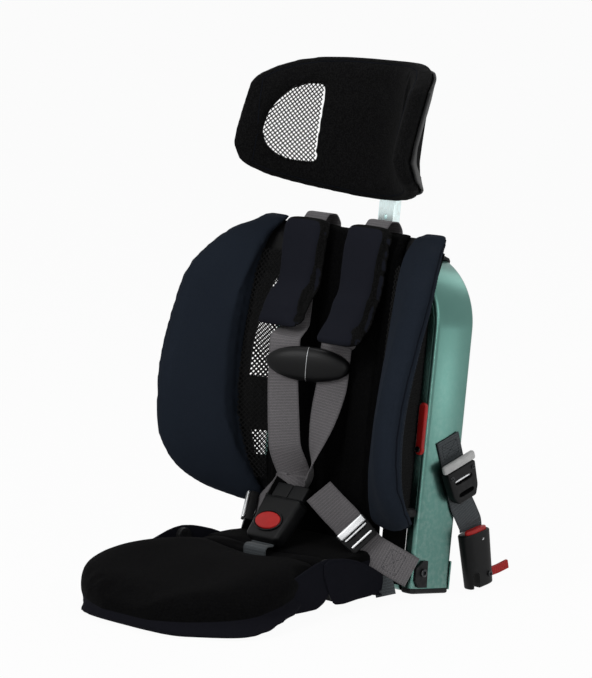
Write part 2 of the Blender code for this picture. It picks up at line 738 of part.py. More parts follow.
def make_side_cover(name, side, parent):
    """Stretch the cloth from behind a wing to the front of its rail."""
    front, rear = [], []
    heights = wing_rows(*COVER_ROWS)
    leave_z = wing_rows()[COVER_LEAVE_ROW]
    for z in heights:
        start = back_point(COVER_START_SHARE * wing_edge(z)[0], z, WING_HALF_THICKNESS + 3 * TOUCH_GAP)
        leave = max(0.0, (z - leave_z) / (heights[-1] - leave_z))
        at_rail = Vector((RAIL_OUTER_X - COVER_RAIL_INSET, RAIL_FRONT - COVER_THICKNESS - TOUCH_GAP, z))
        end = at_rail.lerp(Vector((COVER_TOP_X, COVER_TOP_Y, z)), leave)
        across = (end - start).normalized()
        out = Vector((across.y, -across.x, 0))
        out = out if out.x > 0 else -out
        line = [start.lerp(end, share) - out * sin(pi * share) * COVER_THICKNESS for share in (0.0, 0.33, 0.67, 1.0)]
        front.append([Vector((side * p.x, p.y, p.z)) for p in line])
        rear.append([Vector((side * q.x, q.y, q.z)) for q in (p + out * COVER_THICKNESS for p in line)])
    return add_object(name, sheet_body(front, rear), "black_cloth", parent)


def diamonds(region, pitch_u, pitch_v, strand):
    """List the diamond gaps of a lattice that lie fully inside a convex region."""
    us = [u for u, _ in region]
    vs = [v for _, v in region]
    half_u = 0.5 * (pitch_u - strand * 2 ** 0.5)
    half_v = 0.5 * (pitch_v - strand * 2 ** 0.5)
    gaps = []
    rows = int((max(vs) - min(vs)) / (0.5 * pitch_v)) + 1
    columns = int((max(us) - min(us)) / pitch_u) + 2
    for row in range(rows):
        v = min(vs) + 0.5 * pitch_v * (row + 0.5)
        for column in range(columns):
            u = min(us) + pitch_u * (column + 0.5 * (row % 2))
            gap = [(u - half_u, v), (u, v - half_v), (u + half_u, v), (u, v + half_v)]
            if all(inside(point, region) for point in gap):
                gaps.append(gap)
    return gaps


def inside(point, region):
    """Tell whether a point lies in a convex region whose points run one way round."""
    signs = []
    for (u1, v1), (u2, v2) in zip(region, region[1:] + region[:1]):
        signs.append((u2 - u1) * (point[1] - v1) - (v2 - v1) * (point[0] - u1))
    return all(sign > 0 for sign in signs) or all(sign < 0 for sign in signs)


def net_body(outline, gaps, place, cuts):
    """Fill an outline with gaps in it, bend it by a placing rule, and give it thickness."""
    bm = bmesh.new()
    edges = []
    for loop in [outline, *gaps]:
        verts = [bm.verts.new((u, 0, v)) for u, v in loop]
        for index, vert in enumerate(verts):
            edges.append(bm.edges.new((vert, verts[(index + 1) % len(verts)])))
    bmesh.ops.triangle_fill(bm, use_beauty=True, use_dissolve=False, edges=edges, normal=(0, -1, 0))
    for v in cuts:
        geometry = bm.verts[:] + bm.edges[:] + bm.faces[:]
        bmesh.ops.bisect_plane(bm, geom=geometry, dist=TOUCH_GAP, plane_co=(0, 0, v), plane_no=(0, 0, 1))
    bmesh.ops.triangulate(bm, faces=bm.faces[:])
    bmesh.ops.recalc_face_normals(bm, faces=bm.faces[:])
    grown = bmesh.ops.extrude_face_region(bm, geom=bm.faces[:], use_keep_orig=True)
    lifted = {item for item in grown["geom"] if isinstance(item, bmesh.types.BMVert)}
    for vert in bm.verts:
        vert.co = place(vert.co.x, vert.co.z, NET_THICKNESS if vert in lifted else 0.0)
    return bm


def window_region(first, last):
    """List the corners of a net window between two rows."""
    heights = wing_rows()
    return [(WINDOW_INNER, heights[first])] + [(WINDOW_OUTERS[row], heights[row]) for row in range(first, last + 1)] + [
        (WINDOW_INNER, heights[last])
    ]


def make_back_net(name, side, parent):
    """Run a strip of net between the middle pad and a wing, with gaps in its two windows."""
    first, last = WINDOW_SPANS[0][0] - 1, WINDOW_SPANS[1][1] + 1
    heights = wing_rows(first, last + 1)
    edge = [(wing_edge(z)[2] - NET_STRAND, z) for z in heights]
    inner = BACK_PAD_HALF_WIDTH + 2 * TOUCH_GAP
    outline = [(inner, heights[0]), *edge, (inner, heights[-1])]
    gaps = []
    for span in WINDOW_SPANS:
        gaps += diamonds(window_region(*span), BACK_NET_PITCH, BACK_NET_PITCH, NET_STRAND)

    def place(u, v, lift):
        point = back_point(u, v, lift)
        return Vector((side * point.x, point.y, point.z))

    bm = net_body(outline, gaps, place, heights[1:-1])
    return add_object(name, bm, "net_cloth", parent)


def head_middle(x, z):
    """Give the depth of the headrest's middle surface."""
    share = (z - HEAD_BOTTOM) / HEAD_HEIGHT
    reach = HEAD_REACH * interpolate(HEAD_REACH_SHARES, 0, 1, share)
    return HEAD_CENTRE_Y - reach * (abs(x) / HEAD_HALF_WIDTH) ** 2


def head_slab(near, far, inset):
    """Loft a slab of the headrest between two offsets, pulled in from its outline."""
    reach = 1 - inset / HEAD_HALF_WIDTH
    shares = [row[0] for row in HEAD_OUTLINE_SHARES if row[0] < reach - TOUCH_GAP] + [reach]
    mirrored = [-share for share in shares[:0:-1]] + shares
    middle = 0.5 * (near + far)
    rings = []
    for share in mirrored:
        bottom = HEAD_BOTTOM + HEAD_HEIGHT * interpolate(HEAD_OUTLINE_SHARES, 0, 1, abs(share)) + inset
        top = HEAD_BOTTOM + HEAD_HEIGHT * interpolate(HEAD_OUTLINE_SHARES, 0, 2, abs(share)) - inset
        half = 0.5 * (far - near) * (0.6 if abs(share) == reach else 1.0)
        levels = [(bottom, 0.0), (bottom + HEAD_EDGE_ROUND, 0.62), (bottom + 3.4 * HEAD_EDGE_ROUND, 0.93)]
        levels += [(HEAD_BOTTOM + level * HEAD_HEIGHT, 1.0) for level in HEAD_LEVEL_SHARES]
        levels += [(top - 3.4 * HEAD_EDGE_ROUND, 0.93), (top - HEAD_EDGE_ROUND, 0.62), (top, 0.0)]
        x = share * HEAD_HALF_WIDTH
        ring = [surface_point(head_middle, x, z, middle - half * crown) for z, crown in levels]
        ring += [surface_point(head_middle, x, z, middle + half * crown) for z, crown in levels[-2:0:-1]]
        rings.append(ring)
    return body_from_rings(rings)


def window_prism(name):
    """Make the two D-shaped prisms that open the headrest's windows."""
    tools = []
    for _, side in SIDES:
        outline = [(side * x, z) for x, z in HEAD_WINDOW]
        low = HEAD_CENTRE_Y - HEAD_REACH - HEAD_PAD_THICKNESS
        tools.append((name + str(side), prism(outline, low, MAST_Y + RAIL_DEPTH, "y")))
    return tools


def make_headrest(parent):
    """Make the headrest's pad, its rigid shell with the mast's bracket, and its nets."""
    half = 0.5 * HEAD_PAD_THICKNESS
    pad = add_object("headrest_pad", head_slab(-half, half, 0.0), "black_cloth", parent)
    for name, tool in window_prism("pad_window"):
        join_cut(pad, tool, "DIFFERENCE", name)
    near = half + 3 * TOUCH_GAP
    shell = add_object(
        "headrest_shell", head_slab(near, near + HEAD_SHELL_THICKNESS, HEAD_SHELL_INSET), "black_plastic", parent,
    )
    for name, tool in window_prism("shell_window"):
        join_cut(shell, tool, "DIFFERENCE", name)
    front = HEAD_CENTRE_Y + near + 0.5 * HEAD_SHELL_THICKNESS
    centre = (0, front + 0.5 * BRACKET_DEPTH, 0.5 * (BRACKET_BOTTOM + BRACKET_TOP))
    bracket = box((BRACKET_WIDTH, BRACKET_DEPTH, BRACKET_TOP - BRACKET_BOTTOM), centre, CAP_DRAFT)
    join_cut(shell, bracket, "UNION", "mast_bracket")
    clear = 2 * TOUCH_GAP
    slot = outline_rounded(MAST_WIDTH + clear, MAST_DEPTH + clear, MAST_CORNER + TOUCH_GAP, 2)
    socket = prism([(u, v + MAST_Y) for u, v in slot], BRACKET_BOTTOM - CUT_OVERRUN, MAST_TOP + TOUCH_GAP, "z")
    join_cut(shell, socket, "DIFFERENCE", "mast_socket")
    for name, side in SIDES:
        make_head_net("headrest_net_" + name, side, parent)


def make_head_net(name, side, parent):
    """Fill one headrest window with net, its gaps even along the curved wing."""
    z_middle = 0.5 * (HEAD_WINDOW[0][1] + HEAD_WINDOW[-1][1])
    steps = 48
    first = HEAD_WINDOW[0][0]
    last = max(x for x, _ in HEAD_WINDOW)
    table = [(0.0, first)]
    for step in range(steps):
        x1 = first + (last - first) * step / steps
        x2 = first + (last - first) * (step + 1) / steps
        run = hypot(x2 - x1, head_middle(x2, z_middle) - head_middle(x1, z_middle))
        table.append((table[-1][0] + run, x2))
    centre_x = sum(x for x, _ in HEAD_WINDOW) / len(HEAD_WINDOW)
    shrink = 1 - 6 * TOUCH_GAP / (last - first)
    outline = []
    for (x1, z1), (x2, z2) in zip(HEAD_WINDOW, HEAD_WINDOW[1:] + HEAD_WINDOW[:1]):
        for share in (0.0, 0.5):
            x = centre_x + (x1 + share * (x2 - x1) - centre_x) * shrink
            z = z_middle + (z1 + share * (z2 - z1) - z_middle) * shrink
            outline.append((interpolate(table, 1, 0, x), z))
    rim = [(0.5 * table[-1][0] + (u - 0.5 * table[-1][0]) * shrink, z) for u, z in outline]
    gaps = diamonds(rim, HEAD_NET_PITCH * 0.82, HEAD_NET_PITCH, NET_STRAND)

    def place(u, v, lift):
        point = surface_point(head_middle, interpolate(table, 0, 1, u), v, lift - 0.5 * NET_THICKNESS)
        return Vector((side * point.x, point.y, point.z))

    cuts = [z for _, z in HEAD_WINDOW[2:-2]]
    return add_object(name, net_body(outline, gaps, place, cuts), "net_cloth", parent)


def seat_row(row):
    """Give a seat row's reach, half width, underside and top."""
    reach, width, low, high = row
    return reach * SEAT_FRONT_REACH, width * SEAT_HALF_WIDTH, low * SEAT_THICKNESS, high * SEAT_THICKNESS


def seat_rows(front):
    """List the rows of the folding front part, or of the fixed rear part."""
    rows = SEAT_ROW_SHARES[SEAT_FOLD_ROW:] if front else SEAT_ROW_SHARES[:SEAT_FOLD_ROW]
    return [seat_row(row) for row in rows]


def seat_y(reach):
    """Turn a reach forward of the rails' foot line into a place along Y."""
    return FOOT_SETBACK - reach


def make_seat_pad(name, front, parent, pivot=None):
    """Make one part of the seat's cushion, crowned, with bulged sides and a shallow dish."""
    rings = []
    rows = seat_rows(front)
    for index, (reach, half_width, low, high) in enumerate(rows):
        low = low + PAN_THICKNESS + TOUCH_GAP
        nose = 0.9 if index in (0, len(rows) - 1) else 1.0
        right = [(w * half_width * nose, low + h * (high - low)) for w, h in PAD_SECTION_SHARES]
        left = [(-x, z) for x, z in right[-2:0:-1]]
        rings.append([Vector((x, seat_y(reach), z)) for x, z in right + left])
    return add_object(name, body_from_rings(rings), "black_cloth", parent, pivot, radians(80))


def pan_body(rows):
    """Make a tucked-in pan under the cushion."""
    rings = []
    for reach, half_width, low, high in rows:
        half = half_width - PAN_TUCK
        high = low + PAN_THICKNESS
        edge = 0.3 * PAN_THICKNESS
        points = [(-half, low + edge), (-half + edge, low), (half - edge, low), (half, low + edge)]
        points += [(half, high), (-half, high)]
        rings.append([Vector((x, seat_y(reach), z)) for x, z in points])
    return body_from_rings(rings)


def ear(side, inner_x, reach_foot, hole):
    """Make a hinge ear from a round head on the fold axis down to a foot on the pan."""
    y, z = seat_y(HINGE_REACH), HINGE_HEIGHT
    foot_y = seat_y(reach_foot)
    foot_z = SEAT_ROW_SHARES[SEAT_FOLD_ROW][2] * SEAT_THICKNESS + 0.25 * PAN_THICKNESS
    toward = 1 if foot_y > y else -1
    head = []
    steps = 8
    for step in range(steps + 1):
        angle = pi * step / steps
        head.append((y + EAR_RADIUS * cos(angle), z + EAR_RADIUS * sin(angle)))
    foot = [(foot_y - 0.5 * EAR_FOOT, foot_z), (foot_y + 0.5 * EAR_FOOT, foot_z)]
    outline = head + foot if toward > 0 else head + foot
    outer_x = inner_x + EAR_THICKNESS
    bm = prism(outline, side * inner_x, side * outer_x, "x")
    return bm


def ear_lug(side, inner_x, reach_foot, pan_half):
    """Make the lug that carries an ear from the pan's side."""
    foot_z = SEAT_ROW_SHARES[SEAT_FOLD_ROW][2] * SEAT_THICKNESS + 0.5 * PAN_THICKNESS
    outer_x = inner_x + EAR_THICKNESS
    start = pan_half - EAR_FOOT
    size = (outer_x - start, EAR_FOOT, 0.7 * PAN_THICKNESS)
    return box(size, (side * 0.5 * (start + outer_x), seat_y(reach_foot), foot_z))


def make_seat_front(parent, pivot):
    """Make the folding pan with the outer hinge ears."""
    rows = seat_rows(True)
    bm = pan_body(rows)
    bmesh.ops.translate(bm, vec=-Vector(pivot), verts=bm.verts)
    item = add_object("seat_base_front", bm, "black_plastic", parent)
    item.location = pivot
    foot = HINGE_REACH + EAR_FOOT
    inner_x = EAR_INNER_X + EAR_THICKNESS + EAR_GAP
    for name, side in SIDES:
        join_cut(item, ear_lug(side, inner_x, foot, rows[0][1] - PAN_TUCK), "UNION", "front_lug_" + name)
        join_cut(item, ear(side, inner_x, foot, True), "UNION", "front_ear_" + name)
        low, high = sorted((side * (inner_x - EAR_GAP), side * (inner_x + 2 * EAR_THICKNESS)))
        hole = cylinder(PIN_RADIUS + PIN_CLEARANCE, low, high, "x", (0, seat_y(HINGE_REACH), HINGE_HEIGHT), 24)
        join_cut(item, hole, "DIFFERENCE", "pin_hole_" + name)
    return item


def make_seat_rear():
    """Make the fixed pan with the inner hinge ears, their pins, and the arms to the crossbar."""
    rows = seat_rows(False)
    item = add_object("seat_base_rear", pan_body(rows), "black_plastic")
    foot = HINGE_REACH - EAR_FOOT
    for name, side in SIDES:
        join_cut(item, ear_lug(side, EAR_INNER_X, foot, rows[-1][1] - PAN_TUCK), "UNION", "rear_lug_" + name)
        join_cut(item, ear(side, EAR_INNER_X, foot, False), "UNION", "rear_ear_" + name)
        start = side * (EAR_INNER_X + 0.5 * EAR_THICKNESS)
        end = side * (EAR_INNER_X + 2 * EAR_THICKNESS + EAR_GAP + TOUCH_GAP)
        low, high = sorted((start, end))
        pin = cylinder(PIN_RADIUS, low, high, "x", (0, seat_y(HINGE_REACH), HINGE_HEIGHT), 24)
        join_cut(item, pin, "UNION", "hinge_pin_" + name)
    rear_low = rows[0][2]
    arm_front = rows[0][0] + CUT_OVERRUN
    arm_rear = CROSSBAR_REACH + CROSSBAR_RADIUS + TOUCH_GAP
    for name, side in SIDES:
        size = (2 * EAR_FOOT, arm_front - arm_rear, 0.8 * PAN_THICKNESS)
        centre = (side * 0.5 * SEAT_HALF_WIDTH, seat_y(0.5 * (arm_front + arm_rear)), rear_low + 0.5 * PAN_THICKNESS)
        join_cut(item, box(size, centre), "UNION", "arm_" + name)
    return item


def make_crossbar():
    """Set the lower crossbar between the rails' inner faces."""
    half = RAIL_OUTER_X - RAIL_THICKNESS - TOUCH_GAP
    centre = (0, seat_y(CROSSBAR_REACH), CROSSBAR_HEIGHT)
    return add_object("lower_crossbar", cylinder(CROSSBAR_RADIUS, -half, half, "x", centre, 16), "frame_metal")


def clip_point(along, out=0.0, up=0.0):
    """Place a point on the turned chest clip."""
    across = Vector((cos(CLIP_TURN), sin(CLIP_TURN), 0))
    ahead = Vector((sin(CLIP_TURN), -cos(CLIP_TURN), 0))
    return CLIP_CENTRE + across * along + ahead * out + Vector((0, 0, up))


def buckle_matrix():
    """Give the frame of the tilted buckle."""
    return Matrix.Translation(BUCKLE_CENTRE) @ Matrix.Rotation(-BUCKLE_TILT, 4, "X")


def shoulder_route(side):
    """List the shoulder strap's route from the yoke behind, over the back's top, to its tongue."""
    turned = Vector((cos(CLIP_TURN), sin(CLIP_TURN), 0))
    straight = Vector((1, 0, 0))
    folded = Vector((cos(STRAP_FOLD), -side * sin(STRAP_FOLD), 0))
    behind = -(WEB_THICKNESS + 1.3 * TOUCH_GAP)
    buckle = buckle_matrix()
    tongue_x = side * 0.5 * (TONGUE_WIDTH + 2 * TOUCH_GAP)
    foot = 0.5 * BUCKLE_LENGTH + TONGUE_LENGTH
    upper = 0.5 * CLIP_HEIGHT
    x = side * STRAP_X
    return [
        (Vector((x, YOKE_Y, YOKE_Z + 0.5 * YOKE_HEIGHT + TOUCH_GAP)), straight),
        (Vector((x, STRAP_REAR_Y, 0.340)), straight),
        (Vector((x, STRAP_REAR_Y, 0.405)), straight),
        (Vector((x, -0.0388, 0.424)), straight),
        (Vector((x, -0.0465, 0.4340)), straight),
        (Vector((x, -0.0590, 0.4335)), straight),
        (Vector((x, -0.0670, 0.4220)), straight),
        (Vector((x, -0.0690, 0.4050)), straight),
        (Vector((x, -0.0745, 0.340)), straight),
        (Vector((side * 0.040, -0.0870 + side * 0.004, 0.300)), straight.lerp(turned, 0.3)),
        (clip_point(side * 1.04 * CLIP_STRAP_OFFSET, behind, 1.35 * upper), turned),
        (clip_point(side * CLIP_STRAP_OFFSET, behind), turned),
        (clip_point(side * 0.96 * CLIP_STRAP_OFFSET, behind, -1.35 * upper), turned),
        (clip_point(side * 0.60 * CLIP_STRAP_OFFSET, 0.004, -0.100), turned.lerp(folded, 0.6)),
        (buckle @ Vector((tongue_x, 0, foot + 0.8 * TONGUE_LENGTH)), folded),
        (buckle @ Vector((tongue_x, 0, foot + WEB_THICKNESS)), folded),
    ]


def route_frames(route):
    """Give the place, width direction and outward direction along a smoothed route."""
    frames = []
    for index, (place, across) in enumerate(route):
        before = route[max(index - 1, 0)][0]
        after = route[min(index + 1, len(route) - 1)][0]
        along = (after - before).normalized()
        across = (across - along * across.dot(along)).normalized()
        frames.append((place, across, along.cross(across)))
    return frames


def make_shoulder_pad(name, side, parent):
    """Lay a crowned pad on the front of a shoulder strap."""
    frames = route_frames(smooth_route(shoulder_route(side), 4))
    low = CLIP_CENTRE.z + 0.75 * CLIP_HEIGHT
    frames = [item for item in frames if item[0].y < BACK_CENTRE_Y - SHELL_FRONT and item[0].z > low]
    section = ((-0.57, 0), (-0.94, 0), (-1, 0.3), (-0.9, 0.72), (-0.5, 1), (0.5, 1), (0.9, 0.72), (1, 0.3), (0.94, 0))
    section += ((0.57, 0),)
    straight = Vector((1, 0, 0))
    rings = []
    for index, (place, across, out) in enumerate(frames):
        along = across.cross(out)
        away = Vector((0, along.y, along.z)).cross(straight).normalized()
        away = away if away.y < 0 else -away
        near_end = min(index, len(frames) - 1 - index, 2)
        crown = (0.45, 0.85, 1.0)[near_end] * SHOULDER_PAD_THICKNESS
        half = 0.5 * SHOULDER_PAD_WIDTH * (0.80, 0.96, 1.0)[near_end]
        lift = 0.5 * WEB_THICKNESS + 3 * TOUCH_GAP + 0.6 * WEB_WIDTH * (abs(across.y) + 0.8 * abs(across.z))
        centre = Vector((side * STRAP_X, place.y, place.z))
        rings.append([centre + straight * a * half + away * (lift + b * crown) for a, b in section])
    return add_object(name, body_from_rings(rings), "navy_cloth", parent, None, radians(70))


def make_chest_clip(name, side, parent):
    """Make one half of the chest clip, an oval cut at its seam."""
    steps = 8
    outline = []
    for step in range(steps + 1):
        angle = -0.5 * pi + pi * step / steps
        u = side * (CLIP_SEAM + (CLIP_HALF_LENGTH - CLIP_SEAM) * cos(angle) ** 0.6 if step not in (0, steps) else CLIP_SEAM)
        outline.append((u, 0.5 * CLIP_HEIGHT * sin(angle)))
    matrix = Matrix.Translation(CLIP_CENTRE) @ Matrix.Rotation(CLIP_TURN, 4, "Z")
    bm = prism(outline, -CLIP_THICKNESS, 0, "y", matrix, CAP_DRAFT)
    return add_object(name, bm, "black_plastic", parent)


def oval(width, height, steps=20):
    """List the points of an oval."""
    angles = [2 * pi * step / steps for step in range(steps)]
    return [(0.5 * width * cos(angle), 0.5 * height * sin(angle)) for angle in angles]


def make_buckle(parent):
    """Make the buckle's body with the pocket of its button, and the button in it."""
    matrix = buckle_matrix()
    body = box((BUCKLE_WIDTH, BUCKLE_THICKNESS, BUCKLE_LENGTH), (0, 0, 0), 3 * CAP_DRAFT, 2, matrix)
    item = add_object("buckle_body", body, "black_plastic", parent)
    face = -0.5 * BUCKLE_THICKNESS
    clear = 2 * BUTTON_CLEARANCE
    low = face + BUTTON_SINK
    hole = [(u, v - BUTTON_DROP) for u, v in oval(BUTTON_WIDTH + clear, BUTTON_HEIGHT + clear)]
    join_cut(item, prism(hole, low, face - CUT_OVERRUN, "y", matrix), "DIFFERENCE", "button_pocket")
    shape = [(u, v - BUTTON_DROP) for u, v in oval(BUTTON_WIDTH, BUTTON_HEIGHT)]
    travel = BUTTON_STAND + TOUCH_GAP
    bm = prism(shape, low - travel, face - BUTTON_STAND, "y", matrix, BUTTON_CLEARANCE)
    centre = matrix @ Vector((0, face, -BUTTON_DROP))
    add_object("buckle_button", bm, "red_plastic", parent, centre)


def make_tongue(name, side, parent):
    """Make one latch tongue, standing out of the buckle's upper end."""
    x = side * (0.5 * TONGUE_WIDTH + TOUCH_GAP)
    z = 0.5 * BUCKLE_LENGTH + TOUCH_GAP + 0.5 * TONGUE_LENGTH
    size = (TONGUE_WIDTH, TONGUE_THICKNESS, TONGUE_LENGTH)
    bm = box(size, (x, 0, z), CAP_DRAFT, 1, buckle_matrix())
    return add_object(name, bm, "black_plastic", parent)


def make_crotch_strap(parent, back):
    """Run the crotch strap from the buckle's foot down between the two seat parts."""
    down = buckle_matrix().to_3x3() @ Vector((0, 0, -1))
    start = BUCKLE_CENTRE + down * (0.5 * BUCKLE_LENGTH + 2 * TOUCH_GAP)
    to_back = back.matrix_world.inverted()
    split = seat_y(HINGE_REACH - 0.5 * SEAT_SPLIT)
    row = seat_row(SEAT_ROW_SHARES[SEAT_FOLD_ROW])
    low = Vector((0, split, row[2] + PAN_THICKNESS + 2 * TOUCH_GAP))
    crest = Vector((0, split + 3 * WEB_THICKNESS, row[3] + 3 * WEB_THICKNESS))
    shoulder = Vector((0, split, row[3]))
    across = Vector((1, 0, 0))
    route = [(start, across), (start + down * 2 * WEB_THICKNESS, across), (to_back @ crest, across)]
    route += [(to_back @ shoulder, across), (to_back @ shoulder.lerp(low, 0.5), across), (to_back @ low, across)]
    return add_object("crotch_strap", ribbon(route), "black_webbing", parent)


def hip_route(side):
    """List the hip strap's route from its anchor, behind its adjuster, to its tongue."""
    upright = Vector((side * 0.16, 0.37, 0.91))
    buckle = buckle_matrix()
    up = 0.5 * BUCKLE_LENGTH + 0.5 * WEB_WIDTH + 3 * TOUCH_GAP
    end = buckle @ Vector((side * (TONGUE_WIDTH + 0.5 * TONGUE_WIDTH), 0, up))
    flat = Vector((0, 0.56, 0.83))
    return [
        (Vector((side * (RAIL_OUTER_X + 0.001), RAIL_FRONT - 0.003, 0.026)), Vector((0, 0.1, 1))),
        (Vector((side * 0.122, -0.046, 0.034)), upright),
        (Vector((side * 0.102, -0.068, 0.048)), upright),
        (Vector((side * 0.088, -0.082, 0.064)), upright),
        (Vector((side * 0.072, -0.088, 0.079)), upright),
        (Vector((side * 0.056, -0.096, 0.093)), upright.lerp(flat, 0.6)),
        (end, flat),
    ]


def hip_frame(side):
    """Give the frame of a hip adjuster, on the outer face of its strap."""
    route = hip_route(side)
    place = route[3][0]
    along = (route[4][0] - route[2][0]).normalized()
    across = route[3][1]
    across = (across - along * across.dot(along)).normalized()
    out = along.cross(across)
    if out.y > 0:
        across = -across
        out = -out
    return place, along, across, out


def make_hip_adjuster(name, side, parent):
    """Make a hip adjuster and its silver lever, hinged at the adjuster's upper end."""
    place, along, across, out = hip_frame(side)
    lift = 0.5 * WEB_THICKNESS + 3 * TOUCH_GAP
    centre = place + out * (lift + 0.5 * HIP_ADJUSTER_THICKNESS)
    matrix = frame_matrix(centre, along, across)
    size = (HIP_ADJUSTER_LENGTH, HIP_ADJUSTER_WIDTH, HIP_ADJUSTER_THICKNESS)
    add_object("hip_adjuster_" + name, box(size, (0, 0, 0), CAP_DRAFT, 1, matrix), "black_plastic", parent)
    edge = place + out * (lift + HIP_ADJUSTER_THICKNESS + TOUCH_GAP + 0.5 * HIP_LEVER_THICKNESS)
    edge = edge + along * 0.5 * HIP_ADJUSTER_LENGTH
    matrix = frame_matrix(edge, along, across)
    size = (HIP_LEVER_DEPTH, HIP_LEVER_WIDTH, HIP_LEVER_THICKNESS)
    shift = (-0.5 * HIP_LEVER_DEPTH, 0, 0)
    bm = box(size, shift, 0.5 * CAP_DRAFT, 1, matrix)
    add_object("hip_lever_" + name, bm, "bare_steel", parent, edge)


def make_anchor(name, side, parent):
    """Bolt the hip strap's anchor plate to the rail's outer face."""
    low = side * (RAIL_OUTER_X + TOUCH_GAP)
    high = side * (RAIL_OUTER_X + TOUCH_GAP + ANCHOR_THICKNESS)
    return add_object(name, prism(list(ANCHOR_OUTLINE), low, high, "x"), "black_plastic", parent)


def latch_matrix(side):
    """Give the tilted frame of a lower anchor adjuster: local y back along the tilt, local z up."""
    x = side * (RAIL_OUTER_X + LATCH_STRAP_STAND + 0.5 * WEB_THICKNESS + 2 * TOUCH_GAP + 0.5 * LATCH_ADJUSTER_THICKNESS)
    return Matrix.Translation((x, LATCH_Y, LATCH_ADJUSTER_Z)) @ Matrix.Rotation(LATCH_TILT, 4, "X")


def make_latch(name, side, parent, back):
    """Make a lower anchor set: strap, adjuster, lever, connector, its button and its tab."""
    matrix = latch_matrix(side)
    size = (LATCH_ADJUSTER_THICKNESS, LATCH_ADJUSTER_WIDTH, LATCH_ADJUSTER_HEIGHT)
    add_object("latch_adjuster_" + name, box(size, (0, 0, 0), 2 * CAP_DRAFT, 1, matrix), "black_plastic", parent)
    hinge = Vector((side * 0.5 * LATCH_ADJUSTER_THICKNESS, 0, 0.5 * LATCH_ADJUSTER_HEIGHT + TOUCH_GAP))
    size = (LATCH_LEVER_THICKNESS, LATCH_LEVER_LENGTH, LATCH_LEVER_HEIGHT)
    centre = hinge + Vector((-side * 0.5 * LATCH_LEVER_THICKNESS, 0, 0.5 * LATCH_LEVER_HEIGHT))
    bm = box(size, centre, CAP_DRAFT, 2, matrix)
    add_object("latch_lever_" + name, bm, "bare_steel", parent, matrix @ hinge)
    make_latch_strap(name, side, parent, back)
    make_connector(name, side)


def connector_matrix(side):
    """Give the frame of a hanging connector, its origin at the middle of its foot."""
    foot = Vector((side * CONNECTOR_X, FOOT_SETBACK + CONNECTOR_SETBACK, CONNECTOR_LIFT))
    return Matrix.Translation(foot) @ Matrix.Rotation(CONNECTOR_LEAN, 4, "X")


def make_latch_strap(name, side, parent, back):
    """Run the lower anchor webbing from its fold on the rail, behind the adjuster, to the connector."""
    to_back = back.matrix_world.inverted()
    tilt = Matrix.Rotation(LATCH_TILT, 3, "X") @ Vector((0, 1, 0))
    face = RAIL_OUTER_X + LATCH_STRAP_STAND
    inset = -side * CONNECTOR_STRAP_INSET
    top = to_back @ (connector_matrix(side) @ Vector((inset, 0, CONNECTOR_HEIGHT + 1.2 * WEB_THICKNESS)))
    level = to_back.to_3x3() @ (connector_matrix(side).to_3x3() @ Vector((0, 1, 0)))
    lead = to_back @ (connector_matrix(side) @ Vector((inset, 0, CONNECTOR_HEIGHT + 0.25 * WEB_WIDTH)))
    down = Matrix.Rotation(LATCH_TILT, 3, "X") @ Vector((0, 0, -1))
    start = Vector((side * face, LATCH_Y, LATCH_ADJUSTER_Z)) - down * (LATCH_TOP_Z - LATCH_ADJUSTER_Z)
    middle = Vector((side * face, LATCH_Y, LATCH_ADJUSTER_Z))
    low = middle + down * 0.62 * LATCH_ADJUSTER_HEIGHT
    route = [(start, tilt), (start.lerp(middle, 0.5), tilt), (middle, tilt), (low, tilt.lerp(level, 0.3))]
    route += [(low.lerp(lead, 0.5), tilt.lerp(level, 0.7)), (lead, level), (top, level)]
    return add_object("latch_strap_" + name, ribbon(route), "black_webbing", parent)


def make_connector(name, side):
    """Make the hanging connector with its open jaw, its red button and its pull tab."""
    matrix = connector_matrix(side)
    size = (CONNECTOR_THICKNESS, CONNECTOR_WIDTH, CONNECTOR_HEIGHT)
    body = box(size, (0, 0, 0.5 * CONNECTOR_HEIGHT), 2 * CAP_DRAFT, 1, matrix)
    item = add_object("latch_connector_" + name, body, "black_plastic")
    jaw = box(
        (CONNECTOR_THICKNESS + CUT_OVERRUN, JAW_WIDTH, 2 * JAW_DEPTH), (0, -0.25 * CONNECTOR_WIDTH, 0), 0.0, 1, matrix,
    )
    join_cut(item, jaw, "DIFFERENCE", "jaw_" + name)
    clear = 2 * BUTTON_CLEARANCE
    shift = side * LATCH_BUTTON_SHIFT
    mouth = box(
        (LATCH_BUTTON_THICKNESS + clear, LATCH_BUTTON_WIDTH + clear, 2 * LATCH_BUTTON_SINK),
        (shift, 0, CONNECTOR_HEIGHT), 0.0, 1, matrix,
    )
    join_cut(item, mouth, "DIFFERENCE", "latch_pocket_" + name)
    travel = BUTTON_STAND + TOUCH_GAP
    centre = Vector((shift, 0, CONNECTOR_HEIGHT - LATCH_BUTTON_SINK + travel + 0.5 * LATCH_BUTTON_HEIGHT))
    size = (LATCH_BUTTON_THICKNESS, LATCH_BUTTON_WIDTH, LATCH_BUTTON_HEIGHT)
    bm = box(size, centre, 0.6 * CAP_DRAFT, 1, matrix)
    add_object("latch_button_" + name, bm, "red_plastic", None, matrix @ centre)
    rear = 0.5 * CONNECTOR_WIDTH + TOUCH_GAP
    size = (TAB_THICKNESS, TAB_LENGTH, TAB_HEIGHT)
    centre = (0, rear + 0.5 * TAB_LENGTH, TAB_HEIGHT)
    add_object("release_tab_" + name, box(size, centre, CAP_DRAFT, 1, matrix), "red_plastic")


